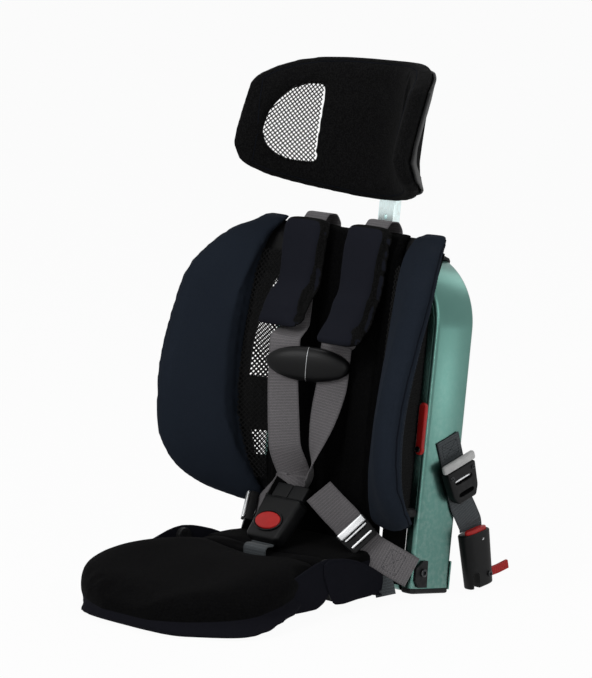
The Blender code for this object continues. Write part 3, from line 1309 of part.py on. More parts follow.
def make_storage_bracket(name, side, parent):
    """Fix the connector's parking plate to the rail's rear face."""
    rear = -RAIL_FRONT + TOUCH_GAP
    size = (STORAGE_WIDTH, STORAGE_THICKNESS, STORAGE_TOP - STORAGE_BOTTOM)
    centre = (side * RAIL_X, rear + 0.5 * STORAGE_THICKNESS, 0.5 * (STORAGE_TOP + STORAGE_BOTTOM))
    return add_object(name, box(size, centre, 0.3 * STORAGE_THICKNESS), "frame_metal", parent)


def make_fold_lever(name, side, parent):
    """Pivot a red lever on the rail's front face."""
    half = 0.5 * FOLD_LEVER_WIDTH
    steps = 6
    outline = []
    for step in range(steps + 1):
        angle = pi * step / steps
        outline.append((half * cos(angle), FOLD_LEVER_ABOVE - half + half * sin(angle)))
    for step in range(steps + 1):
        angle = pi + pi * step / steps
        outline.append((half * cos(angle), -FOLD_LEVER_BELOW + half + half * sin(angle)))
    rear = RAIL_FRONT - TOUCH_GAP
    pivot = (side * FOLD_LEVER_X, rear, FOLD_LEVER_Z)
    matrix = Matrix.Translation(pivot)
    bm = prism(outline, -FOLD_LEVER_THICKNESS, 0, "y", matrix, CAP_DRAFT)
    return add_object(name, bm, "red_plastic", parent, pivot)


def make_yoke(parent):
    """Make the metal plate that gathers both shoulder straps behind the back."""
    size = (YOKE_WIDTH, YOKE_THICKNESS, YOKE_HEIGHT)
    return add_object("harness_yoke", box(size, (0, YOKE_Y, YOKE_Z), 0.3 * YOKE_THICKNESS), "bare_steel", parent)


def build():
    """Build every piece of the seat."""
    clear_scene()
    back = empty("back_frame", None, (0, FOOT_SETBACK, FOOT_LIFT), -RECLINE)
    bpy.context.view_layer.update()
    carrier = empty("headrest_carrier", back)
    hinge = (0, seat_y(HINGE_REACH), HINGE_HEIGHT)
    make_housing(back)
    make_lock_button(back)
    make_mast(carrier)
    make_headrest(carrier)
    make_shell(back)
    make_back_pad(back)
    make_yoke(back)
    make_buckle(back)
    make_crotch_strap(back, back)
    make_seat_rear()
    make_seat_front(None, hinge)
    make_seat_pad("seat_pad_rear", False, None)
    make_seat_pad("seat_pad_front", True, None, hinge)
    make_crossbar()
    for name, side in SIDES:
        make_rail("rail_" + name, side, back)
        make_foot_cap("foot_cap_" + name, side, back)
        make_wing_pad("wing_pad_" + name, side, back)
        make_side_cover("side_cover_" + name, side, back)
        make_back_net("back_net_" + name, side, back)
        add_object("shoulder_strap_" + name, ribbon(shoulder_route(side)), "grey_webbing", back)
        make_shoulder_pad("shoulder_pad_" + name, side, back)
        make_chest_clip("chest_clip_" + name, side, back)
        make_tongue("buckle_tongue_" + name, side, back)
        add_object("hip_strap_" + name, ribbon(hip_route(side)), "grey_webbing", back)
        make_hip_adjuster(name, side, back)
        make_anchor("anchor_bracket_" + name, side, back)
        make_latch(name, side, back, back)
        make_storage_bracket("storage_bracket_" + name, side, back)
        make_fold_lever("fold_lever_" + name, side, back)


build()
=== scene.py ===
"""Folding travel seat for a child: its looks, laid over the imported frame.

Metres, +Z up, the seat looks along -Y and +X is the child's left. Pieces of the back are modelled in
its own upright frame and are then reclined with it.
"""
from contextlib import contextmanager
from math import cos, hypot, pi, radians, sin, sqrt

import bmesh
import bpy
import numpy as np
from mathutils import Matrix, Vector
from mathutils.bvhtree import BVHTree
from mathutils.kdtree import KDTree


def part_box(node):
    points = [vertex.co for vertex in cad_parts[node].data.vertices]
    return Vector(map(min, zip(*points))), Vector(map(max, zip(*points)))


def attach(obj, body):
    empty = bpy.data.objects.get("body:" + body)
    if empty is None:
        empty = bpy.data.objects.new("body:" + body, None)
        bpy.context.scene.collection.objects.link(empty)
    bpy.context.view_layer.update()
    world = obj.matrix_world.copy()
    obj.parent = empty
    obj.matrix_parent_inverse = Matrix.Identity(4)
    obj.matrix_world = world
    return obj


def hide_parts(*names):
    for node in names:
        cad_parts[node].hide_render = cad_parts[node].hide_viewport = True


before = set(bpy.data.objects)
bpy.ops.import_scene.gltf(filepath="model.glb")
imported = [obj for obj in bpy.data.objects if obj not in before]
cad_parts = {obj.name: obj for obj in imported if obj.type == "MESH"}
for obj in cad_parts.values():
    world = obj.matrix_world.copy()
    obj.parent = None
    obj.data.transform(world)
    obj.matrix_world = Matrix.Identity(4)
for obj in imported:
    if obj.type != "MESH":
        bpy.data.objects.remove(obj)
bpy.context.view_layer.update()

# Camera and stage
camera_place = Vector((3.2382, -3.0955, 1.0463))
camera_back = Vector((0.71006, -0.68511, 0.16260))
camera_lens = 204.5
studio_size = 400.0
floor_white = (0.86, 0.86, 0.85)
floor_drop = 0.0004
floor_glow_share = 0.955
studio_glow = 0.22

# Back frame
recline = radians(7.7)
rail_outer_x = 0.137
rail_thickness = 0.020
rail_depth = 0.065
rail_corner = 0.006
rail_crown = 0.0011
rail_bend_z = 0.315
rail_bend_radius = 0.075
rail_x = rail_outer_x - 0.5 * rail_thickness
rail_front = -0.5 * rail_depth
foot_height = 0.006
guide_width = 0.046
rail_foot_y = 0.1177
back_foot = Vector((0, rail_foot_y, 0.5 * rail_depth * sin(recline)))
back_matrix = Matrix.Translation(back_foot) @ Matrix.Rotation(-recline, 4, "X")

# Wings: shares of the top height, half width, reach and inner seam
back_top = 0.427
wing_half_width = 0.199
wing_reach = 0.157
back_centre_y = -0.054
wing_curve_power = 2.2
wing_half_thickness = 0.015
wing_welt_inset = 0.001
wing_stitch_inset = 0.006
wing_welt_shares = (0.19, 0.99)
welt_radius = 0.0008
wing_row_shares = (
    (0.173, 0.633, 0.382, 0.487),
    (0.201, 0.814, 0.522, 0.497),
    (0.244, 0.920, 0.739, 0.533),
    (0.312, 0.965, 0.911, 0.578),
    (0.382, 0.980, 0.975, 0.608),
    (0.457, 0.987, 1.000, 0.633),
    (0.534, 0.995, 0.994, 0.643),
    (0.614, 1.000, 0.962, 0.653),
    (0.714, 1.000, 0.898, 0.653),
    (0.808, 0.990, 0.815, 0.648),
    (0.857, 0.960, 0.745, 0.638),
    (0.904, 0.910, 0.650, 0.628),
    (0.949, 0.844, 0.529, 0.613),
    (0.981, 0.774, 0.376, 0.588),
    (1.000, 0.734, 0.318, 0.578),
)

# Side covers: where they leave the wings and meet the rails
cover_start_share = 0.955
cover_sink = 0.004
cover_low_z = 0.090
cover_leave_z = 0.345
cover_high_z = 0.405
cover_rail_x = 0.1184
cover_tuck = 0.0014
cover_top = (0.148, -0.046)
cover_cloth_share = 0.20
cover_bow = 0.0058
cover_middle_z = 0.25
cover_overlap = 0.003
gusset_start = (0.088, -0.040)
gusset_low_z, gusset_high_z = 0.030, 0.112
cloth_thickness = 0.0010

# Headrest: shares of the reach over the height, and of the lower and upper edge over the half width
head_bottom = 0.453
head_height = 0.176
head_half_width = 0.139
head_centre_y = -0.015
head_half_thickness = 0.012
head_pad_relief, head_pad_inset = 0.0035, 0.0015
head_rim = 0.010
head_reach = 0.119
head_reach_shares = (
    (0.00, 0.74), (0.13, 0.80), (0.20, 0.90), (0.31, 1.00), (0.42, 0.975),
    (0.57, 0.916), (0.70, 0.857), (0.82, 0.798), (1.00, 0.672),
)
head_outline_shares = (
    (0.000, 0.000, 1.000), (0.220, 0.006, 1.000), (0.430, 0.025, 0.994), (0.610, 0.045, 0.977),
    (0.755, 0.071, 0.943), (0.878, 0.102, 0.881), (0.957, 0.148, 0.812), (1.000, 0.210, 0.733),
)
head_window = (
    (0.076, 0.493), (0.101, 0.493), (0.113, 0.502), (0.1205, 0.524),
    (0.118, 0.552), (0.108, 0.578), (0.093, 0.589), (0.076, 0.590),
)
window_centre = Vector((0.098, 0.542))
window_corner = 0.006
window_far_x = 0.124
window_low_z, window_high_z = 0.488, 0.595
window_overlap = 0.003
rim_growth, shell_growth, net_growth = 1.07, 1.04, 1.05
head_seam_inset = 0.006
head_seam_share = 0.94
head_net_depth = 0.0028
head_shell_inset = 0.010
head_shell_thickness = 0.004
bracket_size = Vector((0.050, 0.020, 0.056))
bracket_bottom = 0.556
bracket_slot_drop = 0.008
bracket_screw_x, bracket_screw_rise = 0.019, 0.014
mast_size = (0.029, 0.011)
mast_y = 0.0085

# Seat: the fill behind its crest as y, underside, half width; the side flaps as y, low, high, x
seat_swell = 0.0025
seat_spread = 0.0035
seat_spread_y, seat_spread_run = -0.07, 0.03
seat_foot = 0.010
seat_centre_y = -0.13
seat_knit_z, seat_knit_rise, seat_knit_y = 0.034, 0.12, -0.10
rear_knit_z = 0.044
fill_knit_z = 0.0505
fill_top = 0.0585
fill_crown, fill_rise = 0.002, 0.0025
fill_rows = (
    (-0.020, 0.0540, 0.108), (0.000, 0.0500, 0.110), (0.016, 0.0455, 0.110),
    (0.040, 0.0340, 0.106), (0.064, 0.0230, 0.099), (0.080, 0.0220, 0.094),
)
flap_thickness = 0.0022
flap_edge = 0.0009
flap_stitch_drop = 0.0035
front_flap_rows = (
    (-0.122, 0.020, 0.046, 0.1340), (-0.100, 0.0135, 0.0560, 0.1300), (-0.080, 0.0125, 0.0625, 0.1285),
    (-0.062, 0.0125, 0.0680, 0.1280), (-0.050, 0.0180, 0.0700, 0.1280), (-0.040, 0.0300, 0.0705, 0.1280),
    (-0.0285, 0.0520, 0.0640, 0.1280),
)
rear_flap_rows = (
    (-0.0525, 0.0520, 0.0640, 0.1304), (-0.046, 0.0330, 0.0690, 0.1304), (-0.036, 0.0140, 0.0702, 0.1304),
    (-0.020, 0.0125, 0.0680, 0.1300), (-0.008, 0.0125, 0.0650, 0.1275), (0.008, 0.0125, 0.0600, 0.1240),
    (0.035, 0.0120, 0.0480, 0.1200), (0.062, 0.0150, 0.0330, 0.1130),
)

# Cloth, nets and webbing: a sewn channel as its width and depth
voxel = 0.0045
weld = 0.00002
cad_weld = 0.00001
pad_swell = 0.0045
back_swell = 0.003
head_swell = 0.0022
fill_swell = 0.002
shoulder_swell = 0.002
head_voxel, shoulder_voxel = 0.0038, 0.0035
welt_channel = (0.007, 0.0011)
back_channel = (0.006, 0.0016)
back_channel_xs = (0.032, 0.082)
back_channel_heights = (0.055, 0.415)
window_channel = (0.0045, 0.0009)
head_seam_channel = (0.005, 0.0010)
seam_radius = 0.0005
hem_radius = 0.0014
shoulder_face_share, shoulder_panel_rise = 0.55, 0.014
stitch_length = 0.0030
stitch_gap = 0.0016
stitch_radius = 0.00032
strand = 0.0020
back_net_pitch = 0.0062
head_net_pitch = 0.0056
web_width = 0.038
web_thickness = 0.0014
web_edge = 0.0005
web_rib_pitch, web_twill_pitch = 0.0017, 0.0032
tail_width = 0.024
tail_start, tail_sink = 0.010, 0.0028
tail_steps = ((0.0, 0.0, 0.0), (0.018, 0.003, 0.004), (0.034, 0.004, 0.016), (0.044, 0.0, 0.032))

# Harness, in the back's frame
clip_centre = Vector((-0.003, -0.100, 0.256))
clip_turn = radians(30)
clip_half_length = 0.052
clip_height = 0.042
clip_thickness = 0.012
clip_strap_offset = 0.031
clip_dome_power = 0.55
clip_seam_gap = 0.0006
clip_matrix = back_matrix @ Matrix.Translation(clip_centre) @ Matrix.Rotation(clip_turn, 4, "Z")
buckle_centre = Vector((0, -0.133, 0.068))
buckle_tilt = radians(34)
buckle_matrix = Matrix.Translation(buckle_centre) @ Matrix.Rotation(-buckle_tilt, 4, "X")
buckle_size = Vector((0.062, 0.022, 0.060))
buckle_crown = 0.0016
buckle_well = 0.0074
button_size = (0.040, 0.023)
button_drop = 0.006
button_rim = 0.0008
button_thickness, button_seat = 0.0065, 0.0046
ring_rim = 0.0035
ring_radius = 0.0011
tongue_width = 0.026
grip_depth, grip_height = 0.008, 0.020
hip_slider_thickness = 0.010
hip_bar_size = (0.009, 0.040, 0.0045)
hip_bar_x, hip_bar_lift = 0.0105, 0.0022
strap_x = 0.052
strap_fold = radians(58)
strap_rear_y = -0.0379
strap_over = (
    (strap_rear_y, 0.340), (strap_rear_y, 0.405), (-0.0388, 0.424), (-0.0465, 0.4340),
    (-0.0590, 0.4335), (-0.0670, 0.4220), (-0.0690, 0.4050), (-0.0745, 0.340),
)
crotch_split_y = -0.0391
crotch_crest_z, crotch_shoulder_z = 0.0653, 0.0611
yoke_y = -0.036
yoke_top = 0.262

# Lower anchors
latch_tilt = radians(24)
latch_y = 0.026
latch_top_z = 0.192
latch_adjuster_z = 0.134
latch_stand = 0.0012
latch_size = Vector((0.012, 0.048, 0.042))
latch_bar_size = (0.054, 0.011, 0.007)
connector_x = 0.143
connector_y = 0.1952
connector_lift = 0.0035
connector_lean = radians(8)
connector_size = Vector((0.022, 0.044, 0.068))
connector_strap_inset = 0.0045
jaw_size = (0.009, 0.040)
recess_size = (0.0105, 0.035)
recess_x, recess_depth = 0.0032, 0.005
release_size = (0.0095, 0.034)
release_thickness, release_lift = 0.007, 0.0023
connector_pin_y, connector_pin_drop, connector_pin_radius = 0.004, 0.0082, 0.0021
tab_width, tab_thickness, tab_z, tab_length = 0.011, 0.0042, 0.011, 0.030

# Levers and brackets
lever_x, lever_z = 0.1307, 0.172
lever_length, lever_radius, lever_foot, lever_thickness = 0.050, 0.0056, 0.0063, 0.006
bracket_thickness = 0.003
anchor_bolt_place = (-0.0185, 0.026)
storage_screw_heights = (0.012, 0.030)
storage_thickness = 0.0023

sides = (("left", 1), ("right", -1))
mirrors = {side: Matrix.Diagonal((side, 1, 1, 1)) for _, side in sides}
gap = 0.0003


# Selecting and shaping

def pick(*pieces):
    """Select these objects alone, the last one active."""
    bpy.ops.object.select_all(action="DESELECT")
    for piece in pieces:
        piece.select_set(True)
    bpy.context.view_layer.objects.active = pieces[-1]


@contextmanager
def editing(piece, kind="FACE"):
    """Open a piece in edit mode with nothing selected."""
    pick(piece)
    bpy.ops.object.mode_set(mode="EDIT")
    bpy.ops.mesh.select_mode(type=kind)
    bpy.ops.mesh.select_all(action="DESELECT")
    yield bmesh.from_edit_mesh(piece.data)
    bpy.ops.object.mode_set(mode="OBJECT")


def choose(piece, parts, test):
    """Select the parts of an open mesh that pass a test."""
    for part in parts:
        part.select_set(bool(test(part)))
    bmesh.from_edit_mesh(piece.data).select_flush_mode()
    bmesh.update_edit_mesh(piece.data)


def apply_all(piece):
    """Apply every modifier of a piece."""
    pick(piece)
    for change in list(piece.modifiers):
        bpy.ops.object.modifier_apply(modifier=change.name)


def modify(piece, kind, **settings):
    """Put a modifier on a piece and apply it."""
    change = piece.modifiers.new(kind.lower(), kind)
    for name, value in settings.items():
        setattr(change, name, value)
    apply_all(piece)


def settle(piece, name, finish, body, slot=None, replaced=(), matrix=None, angle=35):
    """Name a piece, place it in its mesh, smooth it, dress it and let it ride."""
    pick(piece)
    bpy.ops.object.transform_apply(location=True, rotation=True, scale=True)
    if matrix:
        piece.data.transform(matrix)
        if matrix.determinant() < 0:
            piece.data.flip_normals()
    piece.name = name
    piece.data.name = name
    bpy.ops.object.shade_smooth_by_angle(angle=radians(angle))
    piece.data.materials.clear()
    piece.data.materials.append(finishes[finish])
    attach(piece, body)
    if replaced:
        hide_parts(*replaced)
    return piece


def begin(primitive, **settings):
    """Start a piece with one of Blender's primitives."""
    bpy.ops.object.select_all(action="DESELECT")
    primitive(**settings)
    return bpy.context.object


def block(size, place=(0, 0, 0), bevel=0.0, segments=3):
    """Start a piece from a cube with rounded edges."""
    piece = begin(bpy.ops.mesh.primitive_cube_add, size=1, location=place)
    piece.scale = size
    bpy.ops.object.transform_apply(location=False, rotation=False, scale=True)
    if bevel:
        with editing(piece, "EDGE"):
            bpy.ops.mesh.select_all(action="SELECT")
            bpy.ops.mesh.bevel(offset=bevel, segments=segments, affect="EDGES", profile=0.5)
    return piece


def plate(outline, thickness, bevel=0.0, segments=3):
    """Start a piece from an outline in the X-Y plane, thickened upwards, its rims rounded."""
    piece = begin(bpy.ops.mesh.primitive_circle_add, vertices=len(outline), radius=1, fill_type="NGON")
    for vert, (u, v) in zip(piece.data.vertices, outline):
        vert.co = (u, v, 0)
    with editing(piece) as bm:
        bpy.ops.mesh.select_all(action="SELECT")
        bpy.ops.mesh.extrude_region_move(TRANSFORM_OT_translate={"value": (0, 0, thickness)})
        bpy.ops.mesh.select_all(action="SELECT")
        bpy.ops.mesh.normals_make_consistent(inside=False)
        if bevel:
            bpy.ops.mesh.select_mode(type="EDGE")
            bm.edges.ensure_lookup_table()
            choose(piece, bm.edges, lambda edge: abs(edge.verts[0].co.z - edge.verts[1].co.z) < gap)
            bpy.ops.mesh.bevel(offset=bevel, segments=segments, affect="EDGES", profile=0.5)
    return piece


def cut(piece, cutter):
    """Cut a piece by another, which goes."""
    change = piece.modifiers.new("cut", "BOOLEAN")
    change.operation = "DIFFERENCE"
    change.solver = "EXACT"
    change.object = cutter
    apply_all(piece)
    bpy.data.objects.remove(cutter, do_unlink=True)


def join(*pieces):
    """Join pieces into the first."""
    pick(*pieces[1:], pieces[0])
    bpy.ops.object.join()
    return bpy.context.object


def oval(width, height, steps=32, power=1.0):
    """List the points of an oval, squarer with a power under one."""
    points = []
    for step in range(steps):
        c, s = cos(2 * pi * step / steps), sin(2 * pi * step / steps)
        across, up = np.sign(c) * abs(c) ** power, np.sign(s) * abs(s) ** power
        points.append((0.5 * width * across, 0.5 * height * up))
    return points


def tube(path, radius, sides_count=8, closed=False):
    """Run a round cord along a path, as a mesh."""
    curve = bpy.data.curves.new("tube", "CURVE")
    curve.dimensions = "3D"
    curve.bevel_depth = radius
    curve.bevel_resolution = max(sides_count // 2 - 1, 0)
    curve.use_fill_caps = True
    spline = curve.splines.new("POLY")
    spline.points.add(len(path) - 1)
    for point, place in zip(spline.points, path):
        point.co = (*place, 1)
    spline.use_cyclic_u = closed
    piece = bpy.data.objects.new("tube", curve)
    bpy.context.collection.objects.link(piece)
    pick(piece)
    bpy.ops.object.convert(target="MESH")
    return bpy.context.object


def cad_copy(node):
    """Copy a CAD node's solid, its loose triangles merged."""
    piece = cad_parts[node].copy()
    piece.data = piece.data.copy()
    for key in list(piece.keys()):
        del piece[key]
    piece.parent = None
    piece.matrix_world = Matrix.Identity(4)
    bpy.context.collection.objects.link(piece)
    piece.hide_render = piece.hide_viewport = False
    with editing(piece, "VERT"):
        bpy.ops.mesh.select_all(action="SELECT")
        bpy.ops.mesh.remove_doubles(threshold=cad_weld)
        bpy.ops.mesh.customdata_custom_splitnormals_clear()
    return piece


def coordinates(mesh):
    """Read a mesh's points as an array."""
    flat = np.zeros(len(mesh.vertices) * 3)
    mesh.vertices.foreach_get("co", flat)
    return flat.reshape(-1, 3)


def put_back(mesh, points):
    """Write a mesh's points from an array."""
    mesh.vertices.foreach_set("co", points.ravel())
    mesh.update()


def surface_of(piece):
    """Give the search tree of a piece's surface."""
    bm = bmesh.new()
    bm.from_mesh(piece.data)
    tree = BVHTree.FromBMesh(bm)
    bm.free()
    return tree


def lay_on(tree, points, lift):
    """Lay points onto a surface, lifted off it."""
    laid = []
    for point in points:
        place, normal, _, _ = tree.find_nearest(point)
        laid.append(place + normal * lift)
    return laid


def even_path(points, step):
    """Walk along a path in even steps."""
    points = [Vector(point) for point in points]
    runs = np.cumsum([0.0] + [(b - a).length for a, b in zip(points, points[1:])])
    places = np.array(points)
    stations = np.arange(0, runs[-1], step)
    columns = [np.interp(stations, runs, places[:, axis]) for axis in range(3)]
    return [Vector(row) for row in np.stack(columns, 1)]


def stitches(name, path, tree, finish, body, lift=0.0001):
    """Sew a run of thread stitches along a path on a surface."""
    model = begin(bpy.ops.mesh.primitive_cylinder_add, vertices=6, radius=stitch_radius, depth=stitch_length)
    with editing(model, "EDGE"):
        bpy.ops.mesh.select_all(action="SELECT")
        bpy.ops.mesh.bevel(offset=0.3 * stitch_radius, segments=1, affect="EDGES")
    bm = bmesh.new()
    stations = even_path(path, stitch_length + stitch_gap)
    for start, end in zip(stations, stations[1:]):
        middle, normal, _, _ = tree.find_nearest(0.5 * (start + end))
        along = (end - start).normalized()
        turn = along.to_track_quat("Z", "Y").to_matrix().to_4x4()
        copy = model.data.copy()
        copy.transform(Matrix.Translation(middle + normal * lift) @ turn)
        bm.from_mesh(copy)
        bpy.data.meshes.remove(copy)
    bm.to_mesh(model.data)
    bm.free()
    return settle(model, name, finish, body)


# Shader groups

def wire(tree, node, name, value):
    """Set a socket's value, or link it."""
    socket = node.inputs[name]
    if isinstance(value, bpy.types.NodeSocket):
        tree.links.new(value, socket)
    else:
        socket.default_value = value


def add(tree, kind, sockets=(), **settings):
    """Add a shader node with its settings and sockets."""
    node = tree.nodes.new("ShaderNode" + kind)
    for name, value in settings.items():
        setattr(node, name, value)
    for name, value in dict(sockets).items():
        wire(tree, node, name, value)
    return node


def maths(tree, operation, first, second=0.0, third=0.0, clamp=False):
    """Add a maths node and give its value."""
    node = add(tree, "Math", {0: first, 1: second, 2: third}, operation=operation, use_clamp=clamp)
    return node.outputs[0]


def spread(tree, value, low, high, to_low=0.0, to_high=1.0):
    """Spread a value's range smoothly to another."""
    sockets = {"Value": value, "From Min": low, "From Max": high, "To Min": to_low, "To Max": to_high}
    return add(tree, "MapRange", sockets, interpolation_type="SMOOTHSTEP").outputs["Result"]


def noise(tree, vector, scale, detail=2.0, roughness=0.5):
    """Add a noise texture and give its value."""
    sockets = {"Vector": vector, "Scale": scale, "Detail": detail, "Roughness": roughness}
    return add(tree, "TexNoise", sockets).outputs["Fac"]


def stretched(tree, vector, scale):
    """Stretch a vector along its axes."""
    return add(tree, "Mapping", {"Vector": vector, "Scale": scale}).outputs["Vector"]


def new_group(name, inputs, outputs):
    """Start a shader group and give its tree, its inputs and its output node."""
    tree = bpy.data.node_groups.new(name, "ShaderNodeTree")
    for label, default in inputs:
        kind = "NodeSocketVector" if default is None else "NodeSocketFloat"
        socket = tree.interface.new_socket(label, in_out="INPUT", socket_type=kind)
        if default is not None:
            socket.default_value = default
    for label in outputs:
        tree.interface.new_socket(label, in_out="OUTPUT", socket_type="NodeSocketFloat")
    source = tree.nodes.new("NodeGroupInput")
    return tree, source.outputs, tree.nodes.new("NodeGroupOutput")


def build_weave():
    """Two sets of yarns crossing, laid square to whichever way the surface faces."""
    inputs = [("Place", None), ("Normal", None), ("Pitch", 0.001)]
    tree, given, out = new_group("cloth_weave", inputs, ["Height"])
    scaled = add(tree, "VectorMath", {0: given["Place"]}, operation="SCALE")
    tree.links.new(maths(tree, "DIVIDE", 2 * pi, given["Pitch"]), scaled.inputs["Scale"])
    part = add(tree, "SeparateXYZ", {0: scaled.outputs[0]}).outputs
    face = add(tree, "SeparateXYZ", {0: given["Normal"]}).outputs
    total, weights = 0.0, 0.0
    for flat, (a, b) in (("X", ("Y", "Z")), ("Y", ("X", "Z")), ("Z", ("X", "Y"))):
        yarns = maths(tree, "MULTIPLY", maths(tree, "SINE", part[a]), maths(tree, "SINE", part[b]))
        weight = maths(tree, "POWER", maths(tree, "ABSOLUTE", face[flat]), 5.0)
        total = maths(tree, "MULTIPLY_ADD", yarns, weight, total)
        weights = maths(tree, "ADD", weights, weight)
    level = maths(tree, "DIVIDE", total, weights)
    wire(tree, out, "Height", maths(tree, "MULTIPLY_ADD", level, 0.5, 0.5))
    return tree


def build_fleck():
    """Light and dark fibres mixed through a yarn."""
    tree, given, out = new_group("yarn_fleck", [("Place", None), ("Scale", 900.0)], ["Fleck", "Cloud"])
    fine = noise(tree, given["Place"], given["Scale"], 3.0, 0.7)
    broad = noise(tree, given["Place"], 9.0, 3.0, 0.55)
    wire(tree, out, "Fleck", spread(tree, fine, 0.42, 0.62))
    wire(tree, out, "Cloud", spread(tree, broad, 0.3, 0.7))
    return tree


def build_wear():
    """Rubbed corners, broken up by scuffs."""
    tree, given, out = new_group("edge_wear", [("Place", None), ("Pointed", 0.5), ("Amount", 0.5)], ["Mask"])
    edge = spread(tree, given["Pointed"], 0.52, 0.60)
    scuff = spread(tree, noise(tree, given["Place"], 160.0, 4.0, 0.65), 0.40, 0.66)
    both = maths(tree, "MULTIPLY", edge, scuff)
    wire(tree, out, "Mask", maths(tree, "MULTIPLY", both, given["Amount"], clamp=True))
    return tree


def build_grain():
    """The fine grain of a moulding or a blasted metal, with a slow unevenness."""
    tree, given, out = new_group("fine_grain", [("Place", None), ("Scale", 900.0)], ["Height", "Uneven"])
    wire(tree, out, "Height", noise(tree, given["Place"], given["Scale"], 3.0, 0.6))
    wire(tree, out, "Uneven", noise(tree, given["Place"], 26.0, 4.0, 0.55))
    return tree


def build_dust():
    """Lint and dust that settles on what faces up."""
    inputs = [("Place", None), ("Normal", None), ("Amount", 0.3)]
    tree, given, out = new_group("settled_dust", inputs, ["Mask"])
    up = spread(tree, add(tree, "SeparateXYZ", {0: given["Normal"]}).outputs["Z"], 0.35, 1.0)
    specks = spread(tree, noise(tree, given["Place"], 420.0, 2.0, 0.6), 0.60, 0.72)
    film = spread(tree, noise(tree, given["Place"], 34.0, 4.0, 0.6), 0.35, 0.75, 0.0, 0.35)
    lying = maths(tree, "MULTIPLY", maths(tree, "ADD", specks, film), up)
    wire(tree, out, "Mask", maths(tree, "MULTIPLY", lying, given["Amount"], clamp=True))
    return tree


groups = {
    "weave": build_weave(),
    "fleck": build_fleck(),
    "wear": build_wear(),
    "grain": build_grain(),
    "dust": build_dust(),
}


def use(tree, name, **sockets):
    """Place a shader group and set its inputs."""
    node = tree.nodes.new("ShaderNodeGroup")
    node.node_tree = groups[name]
    for label, value in sockets.items():
        wire(tree, node, label, value)
    return node.outputs


def new_material(name, **constants):
    """Start a material; give its tree, shader, place and surface facts."""
    made = bpy.data.materials.new(name)
    made.use_nodes = True
    tree = made.node_tree
    shader = tree.nodes["Principled BSDF"]
    for label, value in constants.items():
        shader.inputs[label.replace("_", " ")].default_value = value
    place = add(tree, "TexCoord").outputs["Object"]
    surface = add(tree, "NewGeometry").outputs
    return made, tree, shader, place, surface


def mix(tree, share, first, second):
    """Mix two colours by a share."""
    node = add(tree, "Mix", data_type="RGBA")
    wire(tree, node, 0, share)
    for index, value in ((6, first), (7, second)):
        wire(tree, node, index, value if isinstance(value, bpy.types.NodeSocket) else (*value, 1))
    return node.outputs[2]


def bump(tree, shader, height, strength, distance):
    """Bump a shader by a height."""
    node = add(tree, "Bump", {"Height": height, "Strength": strength, "Distance": distance})
    tree.links.new(node.outputs[0], shader.inputs["Normal"])


def cloth(name, dark, light, pitch, second=None, flecked=0.5, depth=0.0003, dusty=0.1, sheen=0.006):
    """A woven or knitted cloth; with a second pair of colours where its panel attribute is below zero."""
    constants = {"Sheen_Weight": sheen, "Sheen_Roughness": 0.5, "Specular_IOR_Level": 0.02}
    made, tree, shader, place, surface = new_material(name, **constants)
    weave = use(tree, "weave", Place=place, Normal=surface["Normal"], Pitch=pitch)
    fleck = use(tree, "fleck", Place=place, Scale=1.1 / pitch)
    dust = use(tree, "dust", Place=place, Normal=surface["Normal"], Amount=dusty)
    amount = maths(tree, "MULTIPLY", fleck["Fleck"], flecked)
    amount = maths(tree, "MULTIPLY_ADD", weave["Height"], 0.35, amount)
    amount = maths(tree, "MULTIPLY_ADD", fleck["Cloud"], 0.15, amount, clamp=True)
    colour = mix(tree, amount, dark, light)
    if second:
        panel = add(tree, "Attribute", attribute_name="panel").outputs["Fac"]
        side = spread(tree, panel, -0.0004, 0.0004)
        plain = mix(tree, maths(tree, "MULTIPLY_ADD", weave["Height"], 0.3, 0.3), second[0], second[1])
        colour = mix(tree, side, plain, colour)
    colour = mix(tree, dust["Mask"], colour, (0.05, 0.05, 0.05))
    tree.links.new(colour, shader.inputs["Base Color"])
    wire(tree, shader, "Roughness", maths(tree, "MULTIPLY_ADD", fleck["Cloud"], 0.1, 0.9))
    bump(tree, shader, weave["Height"], 0.6, depth)
    return made


